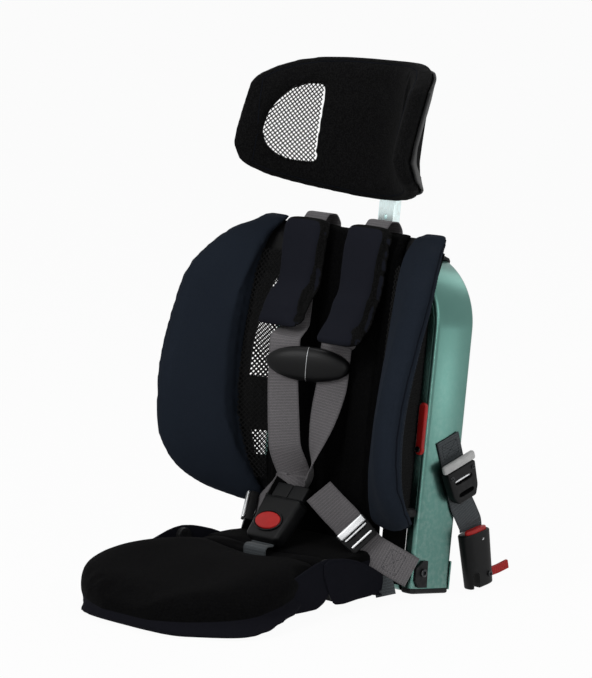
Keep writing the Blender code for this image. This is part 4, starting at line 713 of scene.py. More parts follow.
def webbing(name, dark, light, dusty=0.2):
    """Flat webbing: ribs across, a herringbone through them, and bound edges, on its own UV map."""
    constants = {"Sheen_Weight": 0.12, "Sheen_Roughness": 0.4, "Specular_IOR_Level": 0.3}
    made, tree, shader, place, surface = new_material(name, **constants)
    map_uv = add(tree, "SeparateXYZ", {0: add(tree, "UVMap", uv_map="UVMap").outputs[0]}).outputs
    ribs = maths(tree, "SINE", maths(tree, "MULTIPLY", map_uv["Y"], 2 * pi / web_rib_pitch))
    twill = maths(tree, "SINE", maths(tree, "MULTIPLY", map_uv["X"], pi / web_twill_pitch))
    slant = maths(tree, "ABSOLUTE", twill)
    step = maths(tree, "MULTIPLY", map_uv["Y"], pi / web_rib_pitch)
    yarn = maths(tree, "SINE", maths(tree, "MULTIPLY_ADD", slant, 1.6, step))
    height = maths(tree, "MULTIPLY_ADD", ribs, 0.2, maths(tree, "MULTIPLY_ADD", yarn, 0.25, 0.5))
    edge = spread(tree, maths(tree, "ABSOLUTE", map_uv["X"]), 0.42 * web_width, 0.46 * web_width)
    fleck = use(tree, "fleck", Place=place, Scale=700.0)
    dust = use(tree, "dust", Place=place, Normal=surface["Normal"], Amount=dusty)
    level = maths(tree, "MULTIPLY", height, 0.75)
    amount = maths(tree, "MULTIPLY_ADD", fleck["Fleck"], 0.25, level, clamp=True)
    colour = mix(tree, amount, dark, light)
    colour = mix(tree, maths(tree, "MULTIPLY", edge, 0.45), colour, dark)
    colour = mix(tree, dust["Mask"], colour, (0.25, 0.25, 0.24))
    tree.links.new(colour, shader.inputs["Base Color"])
    wire(tree, shader, "Roughness", maths(tree, "MULTIPLY_ADD", fleck["Cloud"], 0.12, 0.7))
    bump(tree, shader, height, 0.7, 0.00035)
    return made


def plastic(name, colour, rough, coat=0.0, rubbed=0.5, grain=1400.0, dusty=0.08, lighter=3.0,
            specular=0.13):
    """A moulded plastic with a fine grain and rubbed corners."""
    constants = {"Coat_Weight": coat, "Coat_Roughness": 0.2, "Specular_IOR_Level": specular}
    made, tree, shader, place, surface = new_material(name, **constants)
    worn = tuple(min(1.0, lighter * part + 0.012) for part in colour)
    skin = use(tree, "grain", Place=place, Scale=grain)
    wear = use(tree, "wear", Place=place, Pointed=surface["Pointiness"], Amount=rubbed)
    dust = use(tree, "dust", Place=place, Normal=surface["Normal"], Amount=dusty)
    dim = tuple(0.75 * part for part in colour)
    tone = mix(tree, spread(tree, skin["Uneven"], 0.3, 0.7), dim, colour)
    tone = mix(tree, wear["Mask"], tone, worn)
    tone = mix(tree, dust["Mask"], tone, (0.09, 0.09, 0.088))
    tree.links.new(tone, shader.inputs["Base Color"])
    roughness = maths(tree, "MULTIPLY_ADD", skin["Uneven"], 0.18, rough - 0.09, clamp=True)
    wire(tree, shader, "Roughness", roughness)
    bump(tree, shader, skin["Height"], 0.25, 0.00012)
    return made


def metal(name, colour, rough, dim_share=0.72, rubbed=0.35, brushed=(1, 1, 1), bare=(0.6, 0.62, 0.6)):
    """A blasted and anodised metal, a little uneven, bare where its corners are rubbed."""
    made, tree, shader, place, surface = new_material(name)
    skin = use(tree, "grain", Place=stretched(tree, place, brushed), Scale=1500.0)
    wear = use(tree, "wear", Place=place, Pointed=surface["Pointiness"], Amount=rubbed)
    dim = tuple(dim_share * part for part in colour)
    tone = mix(tree, spread(tree, skin["Uneven"], 0.25, 0.75), dim, colour)
    tone = mix(tree, wear["Mask"], tone, bare)
    tree.links.new(tone, shader.inputs["Base Color"])
    wire(tree, shader, "Metallic", 1.0)
    roughness = maths(tree, "MULTIPLY_ADD", skin["Uneven"], 0.14, rough - 0.07, clamp=True)
    wire(tree, shader, "Roughness", roughness)
    bump(tree, shader, skin["Height"], 0.12, 0.0001)
    return made


navy_dark, navy_light = (0.0112, 0.0148, 0.0216), (0.0218, 0.0282, 0.0405)
knit_dark, knit_light = (0.0011, 0.0011, 0.0012), (0.0060, 0.0060, 0.0063)
finishes = {
    "navy": cloth("navy_softshell", navy_dark, navy_light, 0.0009, flecked=0.25, depth=0.00015, dusty=0.10),
    "knit": cloth("black_knit", knit_dark, knit_light, 0.0016, flecked=0.55, dusty=0.10),
    "heather": cloth("heathered_knit", (0.0012, 0.0012, 0.0013), (0.0105, 0.0105, 0.0108), 0.0017,
                     flecked=0.75, depth=0.0004, dusty=0.02, sheen=0.015),
    "spacer": cloth("black_spacer_mesh", (0.0010, 0.0010, 0.0011), (0.0050, 0.0050, 0.0053), 0.0026,
                    depth=0.0006, dusty=0.03),
    "seat": cloth("seat_knit_and_navy", knit_dark, (0.0058, 0.0058, 0.0061), 0.0016,
                  second=((0.0060, 0.0062, 0.0090), (0.0120, 0.0120, 0.0160)), dusty=0.02),
    "shoulder": cloth("pad_navy_and_knit", (0.003, 0.003, 0.003), (0.013, 0.013, 0.013), 0.0018,
                      second=((0.0090, 0.0097, 0.0142), (0.0180, 0.0193, 0.0265)), flecked=0.7, dusty=0.05),
    "net": cloth("black_net", (0.006, 0.006, 0.006), (0.03, 0.03, 0.03), 0.0008, dusty=0.0),
    "thread": cloth("dark_thread", (0.004, 0.005, 0.008), (0.012, 0.014, 0.020), 0.0005, dusty=0.0),
    "grey_thread": cloth("grey_thread", (0.02, 0.022, 0.023), (0.05, 0.053, 0.055), 0.0005, dusty=0.0),
    "side": cloth("seat_side_navy", (0.0060, 0.0063, 0.0092), (0.0125, 0.0128, 0.0172), 0.0009,
                  flecked=0.25, depth=0.00015, dusty=0.05),
    "pale_thread": cloth("pale_thread", (0.05, 0.05, 0.055), (0.12, 0.12, 0.125), 0.0005, dusty=0.0),
    "grey_web": webbing("grey_webbing", (0.075, 0.070, 0.074), (0.190, 0.180, 0.186)),
    "dark_web": webbing("dark_webbing", (0.019, 0.022, 0.024), (0.078, 0.089, 0.096)),
    "red_web": webbing("red_webbing", (0.22, 0.008, 0.008), (0.60, 0.026, 0.024)),
    "black": plastic("black_plastic", (0.0036, 0.0038, 0.0042), 0.46),
    "gloss": plastic("black_satin_plastic", (0.0028, 0.0029, 0.0032), 0.42, coat=0.03, rubbed=0.4),
    "shell": plastic("black_shell_plastic", (0.0048, 0.0050, 0.0054), 0.55, grain=700.0, rubbed=0.7),
    "red": plastic("red_plastic", (0.50, 0.018, 0.016), 0.38, coat=0.06, rubbed=0.25, lighter=1.3, dusty=0.03,
                   specular=0.2),
    "pale": plastic("pale_plastic", (0.62, 0.62, 0.61), 0.40, rubbed=0.2, lighter=1.1, dusty=0.1),
    "rail": metal("anodised_rail", (0.085, 0.185, 0.161), 0.31, dim_share=0.93, rubbed=0.12),
    "mast": metal("anodised_mast", (0.78, 0.92, 0.92), 0.26, dim_share=0.9, brushed=(1, 1, 0.05)),
    "lever": metal("blasted_aluminium", (0.66, 0.67, 0.68), 0.42, bare=(0.85, 0.85, 0.85)),
    "steel": metal("zinc_steel", (0.42, 0.43, 0.44), 0.34, bare=(0.7, 0.7, 0.7)),
    "screw": metal("black_screw_steel", (0.025, 0.026, 0.028), 0.32, bare=(0.3, 0.3, 0.3)),
}


# Surfaces of the back, in its own frame

def wing_edge(z):
    """Give the wing's half width, reach and inner seam at a height."""
    half_width, reach, seam = interpolate(wing_row_shares, z / back_top, (1, 2, 3))
    return wing_half_width * half_width, wing_reach * reach, wing_half_width * seam


def back_middle(x, z):
    """Give the depth of the back's middle surface."""
    half_width, reach, _ = wing_edge(z)
    return back_centre_y - (reach + back_centre_y) * (abs(x) / half_width) ** wing_curve_power


def back_point(x, z, offset=0.0, side=1):
    """Place a point off the back's middle surface, reclined with the back."""
    step = gap
    slope = (back_middle(x + step, z) - back_middle(x - step, z)) / (2 * step)
    length = hypot(slope, 1)
    x1, y1 = x - slope * offset / length, back_middle(x, z) + offset / length
    return back_matrix @ Vector((side * x1, y1, z))


# Soft pads

def round_off(piece, levels=2, passes=6):
    """Subdivide a form into a smooth one that still runs through its first points."""
    with editing(piece):
        bpy.ops.mesh.select_all(action="SELECT")
        bpy.ops.mesh.tris_convert_to_quads(face_threshold=radians(50), shape_threshold=radians(70))
    goal = coordinates(piece.data)
    change = piece.modifiers.new("rounding", "SUBSURF")
    change.levels = change.render_levels = levels
    for _ in range(passes):
        shown = piece.evaluated_get(bpy.context.evaluated_depsgraph_get())
        miss = goal - coordinates(shown.data)[:len(goal)]
        put_back(piece.data, coordinates(piece.data) + 0.8 * miss)
    apply_all(piece)


def puff(piece, cap, hold=None, rounds=3, cell=voxel):
    """Fill a closed cloth form with air: even mesh, pressure, a limit on each point's move."""
    modify(piece, "REMESH", mode="VOXEL", voxel_size=cell)
    modify(piece, "SMOOTH", factor=0.5, iterations=rounds)
    rest = coordinates(piece.data)
    air = piece.modifiers.new("air", "CLOTH")
    air.settings.use_pressure = True
    air.settings.uniform_pressure_force = 4
    air.settings.effector_weights.gravity = 0
    air.point_cache.frame_start, air.point_cache.frame_end = 1, 20
    for step in range(1, 21):
        bpy.context.scene.frame_set(step)
    swollen = piece.evaluated_get(bpy.context.evaluated_depsgraph_get())
    moved = coordinates(swollen.data) - rest
    piece.modifiers.remove(air)
    bpy.context.scene.frame_set(1)
    length = np.linalg.norm(moved, axis=1, keepdims=True)
    moved *= np.minimum(1.0, cap / np.maximum(length, 1e-9))
    if hold:
        moved *= np.array([hold(Vector(point)) for point in rest])[:, None]
    put_back(piece.data, rest + moved)
    modify(piece, "SUBSURF", levels=1, render_levels=1)


def sew(piece, path, width, depth):
    """Pull a sewn channel into a pad along a path on its surface."""
    run = even_path(path, 0.25 * width)
    tree = KDTree(len(run))
    for index, point in enumerate(run):
        tree.insert(point, index)
    tree.balance()
    for vert in piece.data.vertices:
        _, _, distance = tree.find(vert.co)
        if distance < width:
            vert.co -= vert.normal * depth * (1 - distance / width) ** 2
    piece.data.update()


def mark_panel(piece, rule):
    """Store how far each point lies past a panel's edge."""
    attribute = piece.data.attributes.new("panel", "FLOAT", "POINT")
    attribute.data.foreach_set("value", [rule(vert.co, vert.normal) for vert in piece.data.vertices])


def held_behind(share, depth):
    """Let the back of a pad swell by a share of what its face does."""
    inverse = back_matrix.inverted()

    def hold(point):
        local = inverse @ point
        return share if local.y > back_middle(abs(local.x), local.z) + depth else 1.0

    return hold


def interpolate(rows, at, columns):
    """Read columns of a table at a value of its first one."""
    table = np.array(rows)
    return [np.interp(at, table[:, 0], table[:, column]) for column in columns]


def wing_cushion(name, side):
    """Upholster one wing, with a welt along its edge and a row of stitches behind it."""
    piece = cad_copy("wing_pad_" + name)
    round_off(piece)
    puff(piece, pad_swell, held_behind(0.15, 0.0), 4)
    edge, behind = [], []
    for z in np.linspace(*wing_welt_shares, 60) * back_top:
        half_width = wing_edge(z)[0]
        edge.append(back_point(half_width - wing_welt_inset, z, 0.5 * wing_half_thickness, side))
        behind.append(back_point(half_width - wing_stitch_inset, z, wing_half_thickness, side))
    edge = lay_on(surface_of(piece), edge, 0)
    sew(piece, edge, *welt_channel)
    node = "wing_pad_" + name
    settle(piece, "wing_cushion_" + name, "navy", "frame", "navy_cloth", [node], angle=80)
    tree = surface_of(piece)
    welt = tube(lay_on(tree, even_path(edge, 0.006), 0.0002), welt_radius, 6)
    settle(welt, "wing_welt_" + name, "thread", "frame", "navy_cloth", angle=80)
    stitches("wing_stitches_" + name, lay_on(tree, behind, 0), tree, "thread", "frame")


def back_cushion():
    """Upholster the middle of the back in spacer mesh with two long channels on each side."""
    piece = cad_copy("back_pad")
    round_off(piece)
    puff(piece, back_swell, held_behind(0.1, 0.004), 3)
    for side in (1, -1):
        for x in back_channel_xs:
            path = [back_point(x, z, -0.005, side) for z in np.linspace(*back_channel_heights, 50)]
            sew(piece, lay_on(surface_of(piece), path, 0), *back_channel)
    settle(piece, "back_cushion", "spacer", "frame", "black_knit", ["back_pad"], angle=80)


def head_point(x, z, offset=0.0):
    """Place a point off the headrest's middle surface, in the back's frame."""
    reach = head_reach * interpolate(head_reach_shares, (z - head_bottom) / head_height, (1,))[0]
    slope = -2 * reach * x / head_half_width ** 2
    length = hypot(slope, 1)
    y = head_centre_y - reach * (x / head_half_width) ** 2
    return Vector((x - slope * offset / length, y + offset / length, z))


def head_edges(share):
    """Give the headrest's lower and upper edge over its bottom, at a share of its half width."""
    return [head_height * edge for edge in interpolate(head_outline_shares, share, (1, 2))]


def head_slab(offset, thickness, inset, rim):
    """Start a slab of the curved headrest from two grids that meet along a rounded rim."""
    half_width = head_half_width - inset
    layers = []
    for face in (-1, 1):
        layer = begin(bpy.ops.mesh.primitive_grid_add, x_subdivisions=96, y_subdivisions=60, size=2)
        for vert in layer.data.vertices:
            u, v = sin(0.5 * pi * vert.co.x), sin(0.5 * pi * vert.co.y)
            low, high = head_edges(abs(u) * half_width / head_half_width)
            half_height = 0.5 * (high - low) - inset
            away = min((1 - abs(u)) * half_width, (1 - abs(v)) * half_height)
            crown = sqrt(1 - (1 - min(1.0, away / rim)) ** 2)
            z = head_bottom + 0.5 * (low + high) + v * half_height
            vert.co = head_point(u * half_width, z, offset + 0.5 * face * thickness * crown)
        layers.append(layer)
    piece = join(*layers)
    with editing(piece, "VERT"):
        bpy.ops.mesh.select_all(action="SELECT")
        bpy.ops.mesh.remove_doubles(threshold=weld)
        bpy.ops.mesh.normals_make_consistent(inside=False)
    return piece


def window_outline(grow=1.0):
    """List a headrest window's outline, grown about its centre."""
    corners = rounded_outline(head_window, window_corner, 4)
    return [tuple(window_centre + grow * (Vector(point) - window_centre)) for point in corners]


def window_cutter(side, grow=1.0):
    """Shape the cutter of one window, square to the curved headrest all round."""
    tool = plate(window_outline(grow), 1.0)
    for vert in tool.data.vertices:
        x, z, far = vert.co
        vert.co = head_point(side * x, z, 0.08 * far - 0.04)
    with editing(tool):
        bpy.ops.mesh.select_all(action="SELECT")
        bpy.ops.mesh.normals_make_consistent(inside=False)
    return tool


def headrest_cushion():
    """Upholster the headrest: heathered knit, rolled window rims and a seam round the inner face."""
    piece = head_slab(0, 2 * head_half_thickness - head_pad_relief, head_pad_inset, head_rim)
    for _, side in sides:
        cut(piece, window_cutter(side))
    piece.data.transform(back_matrix)
    puff(piece, head_swell, None, 5, head_voxel)
    rim = window_outline(rim_growth)
    for _, side in sides:
        path = [back_matrix @ head_point(side * x, z, -head_half_thickness) for x, z in rim + rim[:1]]
        sew(piece, lay_on(surface_of(piece), path, 0), *window_channel)
    seam = []
    for lower, turn in ((True, 1), (False, -1)):
        for u in np.linspace(-head_seam_share, head_seam_share, 90) * turn:
            low, high = head_edges(abs(u))
            z = head_bottom + (low + head_seam_inset if lower else high - head_seam_inset)
            seam.append(back_matrix @ head_point(u * head_half_width, z, -head_half_thickness))
    seam = lay_on(surface_of(piece), seam + seam[:1], 0)
    sew(piece, seam, *head_seam_channel)
    settle(piece, "headrest_cushion", "heather", "headrest", "black_knit", ["headrest_pad"], angle=80)
    thread = tube(lay_on(surface_of(piece), even_path(seam, 0.004), 0.0001), seam_radius, 6)
    settle(thread, "headrest_seam", "thread", "headrest", angle=80)


def headrest_back():
    """Mould the headrest's shell, its windows square to the curve, and the bracket that takes the mast."""
    middle = head_half_thickness + 3 * gap + 0.5 * head_shell_thickness
    shell = head_slab(middle, head_shell_thickness, head_shell_inset, 0.004)
    for _, side in sides:
        cut(shell, window_cutter(side, shell_growth))
    centre_y = head_centre_y + middle + 0.5 * bracket_size.y
    centre = Vector((0, centre_y, bracket_bottom + 0.5 * bracket_size.z))
    bracket = block(bracket_size, centre, 0.0025, 4)
    slot_size = (mast_size[0] + 2 * gap, mast_size[1] + 2 * gap, bracket_size.z)
    cut(bracket, block(slot_size, (0, mast_y, centre.z - bracket_slot_drop), 0.002, 3))
    settle(bracket, "mast_bracket", "shell", "headrest", "black_plastic", matrix=back_matrix, angle=40)
    node = "headrest_shell"
    settle(shell, "headrest_dish", "shell", "headrest", "black_plastic", [node], back_matrix, 50)
    rear = back_matrix.to_3x3() @ Vector((0, 1, 0))
    for number, side in ((2, 1), (1, -1)):
        face = centre + Vector((side * bracket_screw_x, 0.5 * bracket_size.y - gap, bracket_screw_rise))
        screw(f"bracket_screw_{number}", back_matrix @ face, rear, 0.003, "headrest")


def front_knit_rule(place, normal):
    """Tell how far a point lies above the line where the front seat's knit ends."""
    return place.z - seat_knit_z - seat_knit_rise * (place.y - seat_knit_y)


def seat_cushion(node, name, body, edge_rule):
    """Upholster one part of the seat: knit on top, navy round its sides and below."""
    piece = cad_copy(node)
    round_off(piece)
    low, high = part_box(node)
    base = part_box(node.replace("pad", "base"))[0].z
    for vert in piece.data.vertices:
        share = (high.z - vert.co.z) / (high.z - low.z)
        lower = max(0.0, min(1.0, 1.5 * share - 0.5))
        vert.co.z -= (low.z - base) * lower
        if body == "folding_seat":
            outward = Vector((vert.co.x, vert.co.y - seat_centre_y, 0)).normalized()
            ahead = (seat_spread_y - vert.co.y) / seat_spread_run
            vert.co += outward * seat_spread * lower * min(1.0, max(0.0, ahead))
    puff(piece, seat_swell, lambda point: 1.0 if point.z > base + seat_foot else 0.1, 3)
    mark_panel(piece, edge_rule)
    settle(piece, name, "seat", body, "black_knit", [node], angle=80)


def seat_fill():
    """Fill the seat behind its crest, as far as the foot of the backrest."""
    piece = begin(bpy.ops.mesh.primitive_cube_add, size=2)
    with editing(piece):
        bpy.ops.mesh.select_all(action="SELECT")
        bpy.ops.mesh.subdivide(number_cuts=11)
    for vert in piece.data.vertices:
        u, v, w = vert.co
        y = fill_rows[0][0] + (fill_rows[-1][0] - fill_rows[0][0]) * 0.5 * (v + 1)
        low, half_width = interpolate(fill_rows, y, (1, 2))
        high = fill_top + fill_crown * (1 - u * u) + fill_rise * max(0.0, v)
        vert.co = (u * half_width, y, low + (high - low) * 0.5 * (w + 1))
    puff(piece, fill_swell, None, 5)
    mark_panel(piece, lambda place, normal: place.z - fill_knit_z)
    settle(piece, "seat_fill", "seat", "frame", "black_knit", angle=80)


def seat_flap(name, rows, side, body):
    """Cover the side of a seat hinge with a padded flap of navy cloth."""
    piece = begin(bpy.ops.mesh.primitive_grid_add, x_subdivisions=36, y_subdivisions=18, size=1)
    for vert in piece.data.vertices:
        y = rows[0][0] + (rows[-1][0] - rows[0][0]) * (vert.co.x + 0.5)
        low, high, x = interpolate(rows, y, (1, 2, 3))
        vert.co = (x, y, low + (high - low) * (vert.co.y + 0.5))
    modify(piece, "SMOOTH", factor=0.5, iterations=3)
    modify(piece, "SOLIDIFY", thickness=flap_thickness, offset=0)
    with editing(piece, "EDGE") as bm:
        choose(piece, bm.edges, lambda edge: edge.calc_face_angle(0) > radians(60))
        bpy.ops.mesh.bevel(offset=flap_edge, segments=3, affect="EDGES", profile=0.5)
    settle(piece, name, "side", body, "navy_cloth", matrix=mirrors[side], angle=60)
    tree = surface_of(piece)
    line = [Vector((side * (x + 0.002), y, high - flap_stitch_drop)) for y, _, high, x in rows[1:-1]]
    title = name.replace("flap", "flap_stitches")
    stitches(title, lay_on(tree, even_path(line, 0.004), 0), tree, "thread", body)


def shoulder_cushion(name, side):
    """Upholster a shoulder pad: navy face, knit sides."""
    node = "shoulder_pad_" + name
    piece = cad_copy(node)
    round_off(piece)
    puff(piece, shoulder_swell, None, 2, shoulder_voxel)
    mark_panel(piece, lambda place, normal: shoulder_panel_rise * (shoulder_face_share - abs(normal.y)))
    settle(piece, "shoulder_cushion_" + name, "shoulder", "frame", "navy_cloth", [node], angle=80)


# Nets

def fitted_depth(node, degree=4):
    """Fit a smooth depth over x and z to a CAD node's points."""
    points = coordinates(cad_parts[node].data)
    centre = points.mean(0)
    x, z = points[:, 0] - centre[0], points[:, 2] - centre[2]
    terms = [(i, j) for i in range(degree + 1) for j in range(degree + 1 - i)]
    table = np.stack([x ** i * z ** j for i, j in terms], 1)
    weights, _, _, _ = np.linalg.lstsq(table, points[:, 1], rcond=None)

    def depth(u, v):
        powers = zip(weights, terms)
        return sum(weight * (u - centre[0]) ** i * (v - centre[2]) ** j for weight, (i, j) in powers)

    return depth


def knot_net(name, node, body, pitch, run, heights, place, inside):
    """Knot a diamond net over a strip, where place gives its points and inside keeps them."""
    low, high = heights
    span = 1.5 * max(run, high - low)
    count = int(span / pitch * 2 ** 0.5)
    piece = begin(bpy.ops.mesh.primitive_grid_add, x_subdivisions=count, y_subdivisions=count, size=span)
    points = coordinates(piece.data)
    u = (points[:, 0] - points[:, 1]) * cos(0.25 * pi) + 0.5 * run
    v = (points[:, 0] + points[:, 1]) * sin(0.25 * pi) + 0.5 * (low + high)
    kept = [0 <= a <= run and low <= b <= high and inside(a, b) for a, b in zip(u, v)]
    put_back(piece.data, np.array([place(a, b) for a, b in zip(u, v)], dtype=float))
    with editing(piece, "VERT") as bm:
        bm.verts.ensure_lookup_table()
        choose(piece, bm.verts, lambda vert: not kept[vert.index])
        bpy.ops.mesh.delete(type="VERT")
    modify(piece, "WIREFRAME", thickness=strand, use_even_offset=False, use_boundary=True)
    settle(piece, name, "net", body, "black_net", [node] if node else (), angle=40)


def in_outline(outline, x, z):
    """Tell whether a point lies in a convex outline."""
    pairs = zip(outline, outline[1:] + outline[:1])
    turns = [(c - a) * (z - b) - (d - b) * (x - a) for (a, b), (c, d) in pairs]
    return all(turn >= 0 for turn in turns) or all(turn <= 0 for turn in turns)


def run_lengths(xs, ys):
    """Measure how far each point lies along a line in plan."""
    return np.concatenate([[0.0], np.cumsum(np.hypot(np.diff(xs), np.diff(ys)))])


def back_net(name):
    """Net the strip between the middle pad and a wing."""
    node = "back_net_" + name
    low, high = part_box(node)
    depth = fitted_depth(node)
    xs = np.linspace(low.x, high.x, 60)
    runs = run_lengths(xs, depth(xs, np.full(60, 0.5 * (low.z + high.z))))

    def place(u, z):
        x = np.interp(u, runs, xs)
        return (x, depth(x, z), z)

    heights = (low.z, high.z)
    title = "back_mesh_" + name
    knot_net(title, node, "frame", back_net_pitch, runs[-1], heights, place, lambda u, z: True)


def headrest_net(name, side):
    """Net one window of the headrest, just behind the cushion's face."""
    xs = np.linspace(head_window[0][0] - window_overlap, window_far_x, 60)
    runs = run_lengths(xs, np.array([head_point(x, window_centre.y).y for x in xs]))
    outline = window_outline(net_growth)

    def place(u, z):
        x = side * np.interp(u, runs, xs)
        return back_matrix @ head_point(x, z, head_net_depth - head_half_thickness)

    def inside(u, z):
        return in_outline(outline, np.interp(u, runs, xs), z)

    heights = (window_low_z, window_high_z)
    title, node = "headrest_mesh_" + name, "headrest_net_" + name
    knot_net(title, node, "headrest", head_net_pitch, runs[-1], heights, place, inside)


def make_nets():
    """Net the headrest's windows and the strips between back pad and wings."""
    for name, side in sides:
        headrest_net(name, side)
        back_net(name)


# Webbing

def smooth_route(points, steps=8, slack=0.3):
    """Run a smooth curve through points that each hold a place and a width direction."""
    padded = [points[0], *points, points[-1]]
    route = []
    for index in range(len(points) - 1):
        four = padded[index:index + 4]
        for step in range(steps):
            share = step / steps
            route.append(tuple(blend_four([item[part] for item in four], share, slack) for part in (0, 1)))
    route.append(points[-1])
    return route


def blend_four(values, share, slack):
    """Blend four neighbours along a curve."""
    before, start, end, after = values
    slope_in, slope_out = slack * (end - before), slack * (after - start)
    cube = 2 * start - 2 * end + slope_in + slope_out
    square = -3 * start + 3 * end - 2 * slope_in - slope_out
    return ((cube * share + square) * share + slope_in) * share + start


def route_frames(route):
    """Give the place, width direction and outward direction along a smoothed route."""
    frames = []
    for index, (place, across) in enumerate(route):
        along = (route[min(index + 1, len(route) - 1)][0] - route[max(index - 1, 0)][0]).normalized()
        across = (across - along * across.dot(along)).normalized()
        frames.append((place, across, along.cross(across)))
    return frames


def web_band(route, width=web_width, thickness=web_thickness, steps=8):
    """Lay flat webbing with soft edges along a route, with its own UV map in metres."""
    half, thin = 0.5 * width, 0.5 * thickness
    profile = [(-half, 0.0), (-half + web_edge, thin)]
    profile += [(u, thin) for u in np.linspace(-half + 3 * web_edge, half - 3 * web_edge, 5)]
    profile += [(half - web_edge, thin), (half, 0.0), (half - web_edge, -thin)]
    profile += [(u, -thin) for u in np.linspace(half - 3 * web_edge, -half + 3 * web_edge, 5)]
    profile += [(-half + web_edge, -thin)]
    frames = route_frames(smooth_route(route, steps))
    bm = bmesh.new()
    uv = bm.loops.layers.uv.new("UVMap")
    run, rings, runs = 0.0, [], []
    for index, (place, across, out) in enumerate(frames):
        if index:
            run += (place - frames[index - 1][0]).length
        runs.append(run)
        rings.append([bm.verts.new(place + across * u + out * v) for u, v in profile])
    count = len(profile)
    for row in range(len(rings) - 1):
        for column in range(count):
            after = (column + 1) % count
            spots = ((column, row), (after, row), (after, row + 1), (column, row + 1))
            face = bm.faces.new([rings[r][c] for c, r in spots])
            for loop, (c, r) in zip(face.loops, spots):
                loop[uv].uv = (profile[c][0], runs[r])
    for ring in (rings[0], rings[-1]):
        bm.faces.new(ring)
    bmesh.ops.recalc_face_normals(bm, faces=bm.faces)
    mesh = bpy.data.meshes.new("band")
    bm.to_mesh(mesh)
    bm.free()
    piece = bpy.data.objects.new("band", mesh)
    bpy.context.collection.objects.link(piece)
    return piece


def clip_point(along, out=0.0, up=0.0):
    """Place a point on the turned chest clip."""
    across = Vector((cos(clip_turn), sin(clip_turn), 0))
    ahead = Vector((sin(clip_turn), -cos(clip_turn), 0))
    return clip_centre + across * along + ahead * out + Vector((0, 0, up))


def shoulder_route(side):
    """List the shoulder strap's route from the yoke behind, over the back's top, to its tongue."""
    turned = Vector((cos(clip_turn), sin(clip_turn), 0))
    straight = Vector((1, 0, 0))
    folded = Vector((cos(strap_fold), -side * sin(strap_fold), 0))
    behind = -(web_thickness + 1.3 * gap)
    tongue_x = side * 0.5 * (tongue_width + 2 * gap)
    foot = 0.5 * buckle_size.z + 0.020
    upper = 0.5 * clip_height
    x = side * strap_x
    route = [(Vector((x, yoke_y, yoke_top + gap)), straight)]
    route += [(Vector((x, y, z)), straight) for y, z in strap_over]
    route += [
        (Vector((side * 0.040, -0.0870 + side * 0.004, 0.300)), straight.lerp(turned, 0.3)),
        (clip_point(side * 1.04 * clip_strap_offset, behind, 1.35 * upper), turned),
        (clip_point(side * clip_strap_offset, behind), turned),
        (clip_point(side * 0.96 * clip_strap_offset, behind, -1.35 * upper), turned),
        (clip_point(side * 0.60 * clip_strap_offset, 0.004, -0.100), turned.lerp(folded, 0.6)),
        (buckle_matrix @ Vector((tongue_x, 0, foot + 0.016)), folded),
        (buckle_matrix @ Vector((tongue_x, 0, foot + web_thickness)), folded),
    ]
    return route


def hip_route(side):
    """List the hip strap's route from its anchor, behind its adjuster, to its tongue."""
    upright = Vector((side * 0.16, 0.37, 0.91))
    up = 0.5 * buckle_size.z + 0.5 * web_width + 3 * gap
    end = buckle_matrix @ Vector((side * 1.5 * tongue_width, 0, up))
    flat = Vector((0, 0.56, 0.83))
    return [
        (Vector((side * (rail_outer_x + 0.001), rail_front - 0.003, 0.026)), Vector((0, 0.1, 1))),
        (Vector((side * 0.122, -0.046, 0.034)), upright),
        (Vector((side * 0.102, -0.068, 0.048)), upright),
        (Vector((side * 0.088, -0.082, 0.064)), upright),
        (Vector((side * 0.072, -0.088, 0.079)), upright),
        (Vector((side * 0.056, -0.096, 0.093)), upright.lerp(flat, 0.6)),
        (end, flat),
    ]


def crotch_route():
    """List the crotch strap's route from the buckle's foot down between the two seat parts."""
    to_back = back_matrix.inverted()
    down = buckle_matrix.to_3x3() @ Vector((0, 0, -1))
    start = buckle_centre + down * (0.5 * buckle_size.z + 2 * gap)
    across = Vector((1, 0, 0))
    crest = to_back @ Vector((0, crotch_split_y + 3 * web_thickness, crotch_crest_z))
    shoulder = to_back @ Vector((0, crotch_split_y, crotch_shoulder_z))
    foot = to_back @ Vector((0, crotch_split_y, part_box("crotch_strap")[0].z))
    route = [(start, across), (start + down * 2 * web_thickness, across), (crest, across)]
    return route + [(shoulder, across), (shoulder.lerp(foot, 0.5), across), (foot, across)]


def connector_matrix(side):
    """Give the frame of a hanging connector, its origin at the middle of its foot."""
    foot = Vector((side * connector_x, connector_y, connector_lift))
    return Matrix.Translation(foot) @ Matrix.Rotation(connector_lean, 4, "X")


def latch_route(side):
    """List the lower anchor webbing's route from its fold on the rail to the connector."""
    to_back = back_matrix.inverted()
    turn = Matrix.Rotation(latch_tilt, 3, "X")
    tilt, down = turn @ Vector((0, 1, 0)), turn @ Vector((0, 0, -1))
    inset = -side * connector_strap_inset
    spot = connector_matrix(side)
    top = to_back @ (spot @ Vector((inset, 0, connector_size.z + 1.2 * web_thickness)))
    level = to_back.to_3x3() @ (spot.to_3x3() @ Vector((0, 1, 0)))
    lead = to_back @ (spot @ Vector((inset, 0, connector_size.z + 0.25 * web_width)))
    middle = Vector((side * (rail_outer_x + latch_stand), latch_y, latch_adjuster_z))
    start = middle - down * (latch_top_z - latch_adjuster_z)
    low = middle + down * 0.62 * latch_size.z
    route = [(start, tilt), (start.lerp(middle, 0.5), tilt), (middle, tilt), (low, tilt.lerp(level, 0.3))]
    return route + [(low.lerp(lead, 0.5), tilt.lerp(level, 0.7)), (lead, level), (top, level)]


